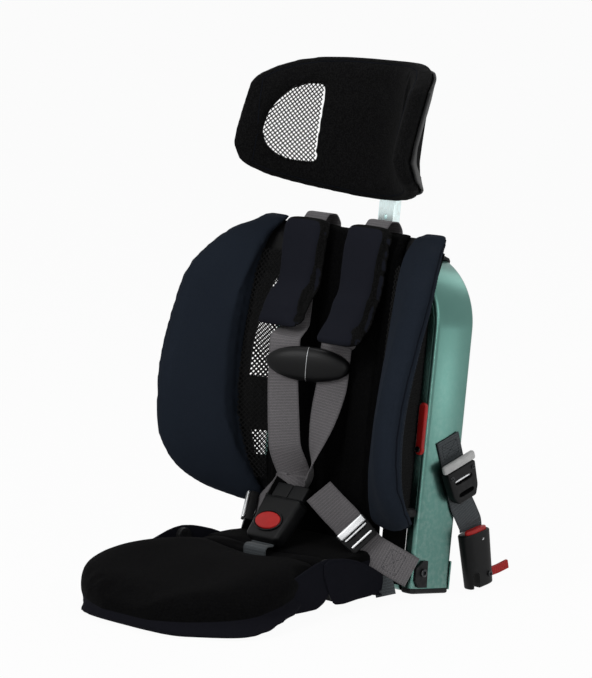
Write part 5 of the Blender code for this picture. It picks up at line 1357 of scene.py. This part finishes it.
def box_stitch(name, route, start, length, width, finish):
    """Sew a box with a cross in it through webbing, from a share of its route."""
    frames = route_frames(smooth_route(route))
    runs = np.cumsum([0.0] + [(b[0] - a[0]).length for a, b in zip(frames, frames[1:])])
    half = 0.5 * width

    def spot(run, u):
        index = int(min(np.searchsorted(runs, run), len(frames) - 1))
        before = max(index - 1, 0)
        share = (run - runs[before]) / max(runs[index] - runs[before], 1e-6)
        place = frames[before][0].lerp(frames[index][0], share)
        return back_matrix @ (place + frames[index][1] * u)

    first = start * runs[-1]
    last = first + length
    corners = [(first, -half), (first, half), (last, half), (last, -half), (first, -half), (last, half)]
    tree = surface_of(bpy.data.objects[name])
    for face in (1, -1):
        lines = [corners, [(first, half), (last, -half)]]
        for number, line in enumerate(lines):
            path = []
            for (a, u), (b, v) in zip(line, line[1:]):
                path += [spot(a + (b - a) * step / 8, u + (v - u) * step / 8) for step in range(9)]
            out = back_matrix.to_3x3() @ frames[int(len(frames) * start)][2]
            path = [point + out * face * web_thickness for point in path]
            title = f"{name}_stitch_{'front' if face > 0 else 'rear'}_{number}"
            stitches(title, lay_on(tree, path, 0), tree, finish, "frame", 0.00005)


def hip_tail(name, side):
    """Hang the loose tail of webbing from a hip adjuster."""
    place, along, across, out = hip_frame(side)
    start = place - along * tail_start - out * tail_sink
    down = Vector((0, 0, -1))
    route = [(start - along * back - out * inward + down * low, across) for back, inward, low in tail_steps]
    tail = web_band(route, tail_width)
    settle(tail, "hip_tail_" + name, "dark_web", "frame", "dark_webbing", matrix=back_matrix)


def make_webbing():
    """Lay the harness webbing and the lower anchor webbing."""
    crotch = web_band(crotch_route())
    settle(crotch, "crotch_web", "dark_web", "frame", "dark_webbing", ["crotch_strap"], back_matrix)
    for name, side in sides:
        runs = (
            ("shoulder_web_", shoulder_route(side), "grey_web", "grey_webbing", "shoulder_strap_"),
            ("hip_web_", hip_route(side), "grey_web", "grey_webbing", "hip_strap_"),
            ("latch_web_", latch_route(side), "dark_web", "dark_webbing", "latch_strap_"),
        )
        for title, route, finish, slot, node in runs:
            settle(web_band(route), title + name, finish, "frame", slot, [node + name], back_matrix)
        box_stitch("hip_web_" + name, hip_route(side), 0.10, 0.020, 0.026, "pale_thread")
        box_stitch("latch_web_" + name, latch_route(side), 0.05, 0.018, 0.026, "grey_thread")
        hip_tail(name, side)


# Hard pieces

def model_rail(name, side):
    """Draw a rail from its rounded section: up from the foot, round the bend, in to the housing."""
    place = (rail_x, 0, foot_height + gap)
    piece = begin(bpy.ops.mesh.primitive_plane_add, size=1, location=place)
    piece.scale = (rail_thickness, rail_depth, 1)
    bpy.ops.object.transform_apply(location=True, rotation=False, scale=True)
    bend_x = rail_x - rail_bend_radius
    rise = rail_bend_z - foot_height - gap
    inward = 0.5 * guide_width + gap - bend_x

    def at_corner(vert):
        return abs(abs(vert.co.y) - 0.5 * rail_depth) < gap and abs(vert.co.x - rail_x) > gap

    with editing(piece, "VERT") as bm:
        bpy.ops.mesh.select_all(action="SELECT")
        bpy.ops.mesh.subdivide(number_cuts=1)
        choose(piece, bm.verts, at_corner)
        bpy.ops.mesh.bevel(offset=rail_corner, segments=8, affect="VERTICES")
        for vert in bm.verts:
            if vert.co.x - rail_x > 0.25 * rail_thickness:
                vert.co.x -= rail_crown * (vert.co.y / (0.5 * rail_depth)) ** 2
        bpy.ops.mesh.select_mode(type="FACE")
        bpy.ops.mesh.select_all(action="SELECT")
        bpy.ops.mesh.extrude_region_move(TRANSFORM_OT_translate={"value": (0, 0, rise)})
        bpy.ops.mesh.spin(steps=28, angle=0.5 * pi, center=(bend_x, 0, rail_bend_z), axis=(0, 1, 0))
        bpy.ops.mesh.extrude_region_move(TRANSFORM_OT_translate={"value": (inward, 0, 0)})
        bpy.ops.mesh.select_all(action="SELECT")
        bpy.ops.mesh.remove_doubles(threshold=weld)
        bpy.ops.mesh.normals_make_consistent(inside=False)
    matrix = back_matrix @ mirrors[side]
    settle(piece, "rail_tube_" + name, "rail", "frame", "anodised_rail", ["rail_" + name], matrix)


def screw(name, place, direction, radius, body, height=0.0016):
    """Set a domed screw head with a six-sided socket."""
    cylinder = bpy.ops.mesh.primitive_cylinder_add
    piece = begin(cylinder, vertices=28, radius=radius, depth=height, location=(0, 0, 0.5 * height))
    with editing(piece) as bm:
        choose(piece, bm.faces, lambda face: face.normal.z > 0.9)
        bpy.ops.mesh.inset(thickness=0.3 * radius)
        bpy.ops.transform.translate(value=(0, 0, 0.35 * height))
    socket = (0, 0, 1.6 * height)
    cut(piece, begin(cylinder, vertices=6, radius=0.45 * radius, depth=2 * height, location=socket))
    turn = Vector(direction).to_track_quat("Z", "Y").to_matrix().to_4x4()
    settle(piece, name, "screw", body, matrix=Matrix.Translation(place) @ turn, angle=30)


def chest_clip(name, side):
    """Dome one half of the chest clip."""
    piece = begin(bpy.ops.mesh.primitive_uv_sphere_add, segments=64, ring_count=32, radius=1)
    piece.scale = (clip_half_length, clip_thickness, 0.5 * clip_height)
    bpy.ops.object.transform_apply(location=False, rotation=False, scale=True)
    edge = (side * clip_seam_gap, 0, 0)
    with editing(piece) as bm:
        bpy.ops.mesh.select_all(action="SELECT")
        bpy.ops.mesh.bisect(plane_co=edge, plane_no=(side, 0, 0), use_fill=True, clear_inner=True)
        bpy.ops.mesh.select_all(action="SELECT")
        bpy.ops.mesh.bisect(plane_co=(0, 0, 0), plane_no=(0, 1, 0), use_fill=True, clear_outer=True)
        for vert in bm.verts:
            share = min(1.0, max(0.0, -vert.co.y / clip_thickness))
            vert.co.y = -clip_thickness * share ** clip_dome_power
    node = "chest_clip_" + name
    settle(piece, "clip_half_" + name, "gloss", "frame", "black_plastic", [node], clip_matrix, 50)


def clip_seam():
    """Run the pale line where the chest clip's two halves meet."""
    half = 0.5 * clip_height
    path = []
    for z in np.linspace(-0.97, 0.97, 36) * half:
        share = sqrt(1 - (z / half) ** 2)
        path.append(Vector((0, -clip_thickness * share ** clip_dome_power - 0.0001, z)))
    settle(tube(path, seam_radius, 6), "clip_seam", "steel", "frame", matrix=clip_matrix, angle=60)


def button_outline(rim, steps=40):
    """List the buckle button's outline, with a rim round it."""
    width, height = button_size
    return [(u, v - button_drop) for u, v in oval(width + rim, height + rim, steps)]


def model_buckle():
    """Mould the buckle: a crowned body narrowing to its foot, a ring round a domed red button."""
    size = buckle_size
    face = -0.5 * size.y
    upright = Matrix.Rotation(0.5 * pi, 4, "X")
    body = block(size, (0, 0, 0), 0.006, 5)
    with editing(body) as bm:
        for vert in bm.verts:
            down = max(0.0, -vert.co.z / (0.5 * size.z))
            vert.co.x *= 1 - 0.20 * down ** 2
            front = max(0.0, -vert.co.y / (0.5 * size.y))
            vert.co.y += buckle_crown * front * (abs(vert.co.x) / (0.5 * size.x)) ** 2
    well = plate(button_outline(button_rim), 0.02)
    well.data.transform(Matrix.Translation((0, face + buckle_well, 0)) @ upright)
    cut(body, well)
    matrix = back_matrix @ buckle_matrix
    settle(body, "buckle_case", "black", "frame", "black_plastic", ["buckle_body"], matrix, 40)
    ring = [Vector((u, face - 0.0002, v)) for u, v in button_outline(ring_rim, 48)]
    settle(tube(ring, ring_radius, 10, True), "buckle_ring", "gloss", "frame", matrix=matrix, angle=60)
    button = plate(button_outline(0), button_thickness, 0.0016, 4)
    button.data.transform(Matrix.Translation((0, face + button_seat, 0)) @ upright)
    slot, node = "red_plastic", "buckle_button"
    settle(button, "buckle_press_pad", "red", "buckle_release", slot, [node], matrix, 40)


def tongue(name, side):
    """Form the moulded grip of a latch tongue."""
    place = (side * (0.5 * tongue_width + gap), 0, 0.5 * (buckle_size.z + grip_height) + gap)
    grip = block((tongue_width, grip_depth, grip_height), place, 0.0022, 4)
    node, matrix = "buckle_tongue_" + name, back_matrix @ buckle_matrix
    settle(grip, "tongue_grip_" + name, "black", "frame", "black_plastic", [node], matrix, 40)


def slotted_frame(outline, thickness, slots, bevel=0.0012):
    """Form a rounded plate with slots cut through it."""
    body = plate(outline, thickness, bevel, 3)
    for (u, v), (width, height) in slots:
        slot = plate([(u + a, v + b) for a, b in oval(width, height, 24, 0.55)], 3 * thickness)
        slot.data.transform(Matrix.Translation((0, 0, -thickness)))
        cut(body, slot)
    return body


def rounded_outline(corners, radius, steps=5):
    """Round the corners of an outline."""
    points = []
    count = len(corners)
    for index in range(count):
        before, here, after = (Vector(corners[(index + shift) % count]) for shift in (-1, 0, 1))
        start = here + (before - here).normalized() * radius
        end = here + (after - here).normalized() * radius
        for step in range(steps + 1):
            share = step / steps
            points.append(tuple(start.lerp(here, share).lerp(here.lerp(end, share), share)))
    return points


def lever_bar(size, place):
    """Form a lever's round-ended bar."""
    return block(size, place, 0.45 * min(size[1:]), 5)


def hip_frame(side):
    """Give the frame of a hip adjuster on the outer face of its strap."""
    route = hip_route(side)
    place, across = route[3]
    along = (route[4][0] - route[2][0]).normalized()
    across = (across - along * across.dot(along)).normalized()
    out = along.cross(across)
    if out.y > 0:
        across, out = -across, -out
    return place, along, across, out


def axes_matrix(place, along, across, out):
    """Give the matrix of a place with its three axes."""
    return Matrix.Translation(place) @ Matrix((along, across, out)).transposed().to_4x4()


def hip_adjuster(name, side):
    """Form a hip adjuster: a slotted black frame with two rods, and its bright lever bar."""
    matrix = back_matrix @ axes_matrix(*hip_frame(side))
    lift = 0.5 * web_thickness + 3 * gap
    corners = ((-0.015, -0.019), (0.015, -0.022), (0.015, 0.022), (-0.015, 0.019))
    slots = [((0.003, 0), (0.006, 0.032)), ((-0.008, 0), (0.005, 0.030))]
    body = slotted_frame(rounded_outline(corners, 0.004), hip_slider_thickness, slots)
    body.data.transform(Matrix.Translation((0, 0, lift)))
    node = "hip_adjuster_" + name
    settle(body, "hip_slider_" + name, "black", "frame", "black_plastic", [node], matrix, 40)
    bar = lever_bar(hip_bar_size, (hip_bar_x, 0, lift + hip_slider_thickness + gap + hip_bar_lift))
    node = "hip_lever_" + name
    settle(bar, "hip_bar_" + name, "lever", node, "steel", [node], matrix, 50)
    for number, (u, v) in enumerate(((-0.0075, 0.0155), (0.0035, 0.0165))):
        rod = tube([Vector((u, end * v, lift + 0.0085)) for end in (-1, 1)], 0.0017, 12)
        settle(rod, f"hip_rod_{name}_{number}", "lever", "frame", matrix=matrix, angle=50)


def latch_set(name, side):
    """Form a lower anchor's adjuster with its pin and screws, its lever and its connector."""
    x = side * (rail_outer_x + latch_stand + 0.5 * web_thickness + 2 * gap)
    place = Matrix.Translation((x, latch_y, latch_adjuster_z))
    matrix = back_matrix @ place @ Matrix.Rotation(latch_tilt, 4, "X")
    stand = matrix @ axes_matrix(Vector(), Vector((0, 1, 0)), Vector((0, 0, 1)), Vector((side, 0, 0)))
    corners = ((0.024, 0.021), (0.021, -0.010), (0.015, -0.021))
    corners += tuple((-u, v) for u, v in corners[::-1])
    slots = [((0, 0.006), (0.030, 0.007)), ((0, -0.011), (0.026, 0.006))]
    body = slotted_frame(rounded_outline(corners, 0.003), latch_size.x, slots)
    node = "latch_adjuster_" + name
    settle(body, "latch_slider_" + name, "black", "frame", "black_plastic", [node], stand, 40)
    rise = 0.5 * (latch_size.z + latch_bar_size[1]) + gap
    bar = lever_bar(latch_bar_size, (0, rise, latch_size.x - 0.5 * latch_bar_size[2]))
    node = "latch_lever_" + name
    settle(bar, "latch_bar_" + name, "pale", node, "steel", [node], stand, 50)
    pin = tube([Vector((end * 0.0165, 0.006, 0.0075)) for end in (-1, 1)], 0.0019, 12)
    settle(pin, "latch_pin_" + name, "lever", "frame", matrix=stand, angle=50)
    out = stand.to_3x3() @ Vector((0, 0, 1))
    for number, u in enumerate((0.0185, -0.0185)):
        place = stand @ Vector((u, 0.014, latch_size.x - 0.0002))
        screw(f"latch_screw_{name}_{number}", place, out, 0.0026, "frame", height=0.0012)
    connector(name, side)


def connector(name, side):
    """Form the hanging connector: an oval case with an open jaw, a red top and a red pull tab."""
    matrix = connector_matrix(side)
    wide, deep, tall = connector_size.y, connector_size.x, connector_size.z
    case = plate(oval(deep, wide, 40, 0.62), tall, 0.0022, 4)
    with editing(case) as bm:
        for vert in bm.verts:
            down = 1 - vert.co.z / tall
            vert.co.y *= 1 - 0.10 * down
            vert.co.x *= 1 - 0.12 * down
    cut(case, block((2 * deep, *jaw_size), (0, -0.25 * wide, 0), 0.002, 3))
    floor_place = Vector((side * recess_x, 0, tall - recess_depth))
    recess = plate(oval(*recess_size, 32, 0.7), 0.02)
    recess.data.transform(Matrix.Translation(floor_place))
    cut(case, recess)
    node, slot = "latch_connector_" + name, "black_plastic"
    settle(case, "connector_case_" + name, "black", "frame", slot, [node], matrix, 40)
    top = plate(oval(*release_size, 32, 0.7), release_thickness, 0.0016, 4)
    top.data.transform(Matrix.Translation(floor_place + Vector((0, 0, release_lift))))
    body, node, slot = "latch_release_" + name, "latch_button_" + name, "red_plastic"
    settle(top, "connector_top_" + name, "red", body, slot, [node], matrix, 40)
    face = matrix @ Vector((side * 0.5 * deep * 0.91, 0.011, 0.013))
    out = matrix.to_3x3() @ Vector((side, 0, 0))
    screw("connector_screw_" + name, face, out, 0.0034, "frame", height=0.0014)
    half = 0.5 * deep * 0.98
    ends = [Vector((x, connector_pin_y, tall - connector_pin_drop)) for x in (-half, half)]
    pin = tube(ends, connector_pin_radius, 12)
    settle(pin, "connector_pin_" + name, "steel", "frame", matrix=matrix, angle=50)
    rear = 0.5 * wide * 0.92 + gap
    across = Vector((0, 0.2, 1)).normalized()
    spots = ((rear - 0.002, tab_z), (rear + 0.014, tab_z - 0.0005), (0.5 * wide + tab_length, tab_z + 0.0005))
    tab = web_band([(Vector((0, y, z)), across) for y, z in spots], tab_width, tab_thickness, 6)
    node = "release_tab_" + name
    settle(tab, "pull_tab_" + name, "red_web", "frame", slot, [node], matrix, 50)


def fold_lever(name, side):
    """Form a red fold lever with its round foot and pivot screw."""
    radius, foot, node = lever_radius, lever_foot, "fold_lever_" + name
    points = [(radius * cos(a), lever_length + radius * sin(a)) for a in np.linspace(0, pi, 12)]
    points += [(foot * cos(a), foot * sin(a) * 1.06) for a in np.linspace(pi - 0.5, 2 * pi + 0.5, 20)]
    body = plate(points, lever_thickness, 0.0022, 4)
    place = Matrix.Translation((side * lever_x, rail_front - gap, lever_z))
    matrix = back_matrix @ place @ Matrix.Rotation(0.5 * pi, 4, "X")
    settle(body, "fold_handle_" + name, "red", node, "red_plastic", [node], matrix, 40)
    head = matrix @ Vector((0, 0, lever_thickness - 0.0002))
    screw("fold_pivot_" + name, head, matrix.to_3x3() @ Vector((0, 0, 1)), 0.0036, node)


def anchor_details(name, side):
    """Bolt the anchor bracket and the storage bracket to the rail's foot."""
    turn = back_matrix.to_3x3()
    place = back_matrix @ Vector((side * (rail_outer_x + gap + bracket_thickness), *anchor_bolt_place))
    screw("anchor_bolt_" + name, place, turn @ Vector((side, 0, 0)), 0.0048, "frame", height=0.002)
    for number, z in enumerate(storage_screw_heights):
        place = back_matrix @ Vector((side * rail_x, 0.5 * rail_depth + storage_thickness, z))
        screw(f"storage_screw_{name}_{number}", place, turn @ Vector((0, 1, 0)), 0.0033, "frame")


def side_point(share, z, side):
    """Place a point of a side cover, from behind the wing to the front of the rail."""
    start = back_point(cover_start_share * wing_edge(z)[0], z, wing_half_thickness - cover_sink, side)
    leave = max(0.0, (z - cover_leave_z) / (cover_high_z - cover_leave_z))
    at_rail = Vector((side * cover_rail_x, rail_front + cover_tuck, z))
    end = back_matrix @ at_rail.lerp(Vector((side * cover_top[0], cover_top[1], z)), leave)
    inward = Vector((-side, 0, 0))
    return start.lerp(end, share) + inward * cover_bow * sin(pi * min(1.0, max(0.0, share)))


def side_cover(name, side):
    """Stretch the cover's side: a cloth hem along the wing and an open net from there to the rail."""
    piece = begin(bpy.ops.mesh.primitive_grid_add, x_subdivisions=12, y_subdivisions=60, size=1)
    rise = cover_high_z - cover_low_z
    for vert in piece.data.vertices:
        share, z = cover_cloth_share * (vert.co.x + 0.5), cover_low_z + rise * (vert.co.y + 0.5)
        vert.co = side_point(share, z, side)
    modify(piece, "SOLIDIFY", thickness=cloth_thickness, offset=0)
    node = "side_cover_" + name
    settle(piece, "side_cloth_" + name, "knit", "frame", "black_knit", [node], angle=70)
    run = (side_point(1, cover_middle_z, side) - side_point(0, cover_middle_z, side)).length
    start = cover_cloth_share * run - cover_overlap
    heights = (cover_low_z, cover_high_z)

    def place(u, z):
        return side_point(u / run, z, side)

    def inside(u, z):
        return u > start

    knot_net("side_mesh_" + name, None, "frame", back_net_pitch, run, heights, place, inside)
    hem = [side_point(1.0, z, side) for z in np.linspace(*heights, 50)]
    settle(tube(hem, hem_radius, 8), "side_hem_" + name, "knit", "frame", angle=80)


def side_gusset(name, side):
    """Close the corner below a side cover with a strip of cloth from the back pad to the rail."""
    piece = begin(bpy.ops.mesh.primitive_grid_add, x_subdivisions=8, y_subdivisions=20, size=1)
    start, end = Vector(gusset_start), Vector((cover_rail_x, rail_front + cover_tuck))
    rise = gusset_high_z - gusset_low_z
    for vert in piece.data.vertices:
        x, y = start.lerp(end, vert.co.x + 0.5)
        vert.co = back_matrix @ Vector((side * x, y, gusset_low_z + rise * (vert.co.y + 0.5)))
    modify(piece, "SOLIDIFY", thickness=cloth_thickness, offset=0)
    settle(piece, "side_gusset_" + name, "knit", "frame", "black_knit", angle=70)


# Studio

def set_camera():
    """Place the camera where the photograph was taken."""
    bpy.ops.object.camera_add(location=camera_place)
    camera = bpy.context.object
    camera.rotation_euler = camera_back.to_track_quat("Z", "Y").to_euler()
    camera.data.lens = camera_lens
    camera.data.clip_end = 900
    bpy.context.scene.camera = camera


def seen_share(tree):
    """Give one where a ray comes from the camera, a mirror or glass."""
    path = add(tree, "LightPath").outputs
    share = maths(tree, "MAXIMUM", path["Is Camera Ray"], path["Is Glossy Ray"])
    return maths(tree, "MAXIMUM", share, path["Is Transmission Ray"])


def set_studio():
    """Light a white studio over a pale floor: a soft key, two lamps for the rail, a fill and a rim."""
    world = bpy.data.worlds.new("studio")
    bpy.context.scene.world = world
    world.use_nodes = True
    tree = world.node_tree
    plain = tree.nodes["Background"]
    plain.inputs["Color"].default_value = (0.95, 0.97, 1.0, 1)
    plain.inputs["Strength"].default_value = studio_glow
    white = add(tree, "Background", {"Color": (1, 1, 1, 1), "Strength": 1.0})
    blend = add(tree, "MixShader", {0: seen_share(tree), 1: plain.outputs[0], 2: white.outputs[0]})
    tree.links.new(blend.outputs[0], tree.nodes["World Output"].inputs["Surface"])
    # Name, place, target, width, height and power of each lamp
    lamps = (
        ("key", (0.4, -2.5, 1.9), (0, 0, 0.25), 1.1, 1.1, 33),
        ("edge", (2.65, -1.53, 0.65), (0.1, 0.0, 0.25), 0.3, 1.2, 7),
        ("rail", (0.72, 0.66, 0.13), (0.137, 0.10, 0.25), 0.20, 0.16, 0.3),
        ("fill", (2.6, -0.2, 1.5), (0, 0, 0.3), 1.2, 1.2, 10),
        ("rim", (0.2, 2.5, 1.7), (0, 0, 0.4), 1.0, 1.0, 6),
        ("top", (0.0, 0.2, 2.6), (0, 0, 0), 1.2, 1.2, 12),
    )
    for name, place, target, width, height, power in lamps:
        bpy.ops.object.light_add(type="AREA", location=place)
        lamp = bpy.context.object
        lamp.name = name + "_light"
        lamp.rotation_euler = (Vector(place) - Vector(target)).to_track_quat("Z", "Y").to_euler()
        lamp.data.shape = "RECTANGLE"
        lamp.data.size, lamp.data.size_y = width, height
        lamp.data.energy = power
        lamp.visible_camera = False
    floor = begin(bpy.ops.mesh.primitive_plane_add, size=studio_size * 2, location=(0, 0, -floor_drop))
    floor.name = "floor"
    made = bpy.data.materials.new("white_floor")
    made.use_nodes = True
    tree = made.node_tree
    shader = tree.nodes["Principled BSDF"]
    shader.inputs["Base Color"].default_value = (*floor_white, 1)
    shader.inputs["Roughness"].default_value = 0.9
    shader.inputs["Specular IOR Level"].default_value = 0.1
    glow = add(tree, "Emission", {"Color": (1, 1, 1, 1), "Strength": 1.0})
    share = maths(tree, "MULTIPLY", seen_share(tree), floor_glow_share)
    blend = add(tree, "MixShader", {0: share, 1: shader.outputs[0], 2: glow.outputs[0]})
    tree.links.new(blend.outputs[0], tree.nodes["Material Output"].inputs["Surface"])
    floor.data.materials.append(made)


def dress_cad():
    """Give the CAD nodes that stay in sight their finishes."""
    kept = {
        "top_housing": "shell", "mast": "mast", "mast_lock_button": "black",
        "back_shell": "shell", "harness_yoke": "steel", "seat_base_rear": "shell", "seat_base_front": "shell",
        "lower_crossbar": "rail",
    }
    for name, _ in sides:
        kept |= {"foot_cap_" + name: "black", "anchor_bracket_" + name: "black"}
        kept["storage_bracket_" + name] = "rail"
    for node, finish in kept.items():
        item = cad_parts[node]
        item.data.materials.clear()
        item.data.materials.append(finishes[finish])


set_camera()
set_studio()
dress_cad()
for name, side in sides:
    model_rail(name, side)
    wing_cushion(name, side)
    shoulder_cushion(name, side)
    chest_clip(name, side)
    tongue(name, side)
    hip_adjuster(name, side)
    latch_set(name, side)
    fold_lever(name, side)
    anchor_details(name, side)
    side_cover(name, side)
back_cushion()
for name, side in sides:
    side_gusset(name, side)
headrest_cushion()
headrest_back()
seat_cushion("seat_pad_front", "seat_cushion_front", "folding_seat", front_knit_rule)
seat_cushion("seat_pad_rear", "seat_cushion_rear", "frame", lambda place, normal: place.z - rear_knit_z)
seat_fill()
for name, side in sides:
    seat_flap("seat_flap_front_" + name, front_flap_rows, side, "folding_seat")
    seat_flap("seat_flap_rear_" + name, rear_flap_rows, side, "frame")
clip_seam()
model_buckle()
make_webbing()
make_nets()

bpy.context.scene.view_settings.view_transform = "Standard"
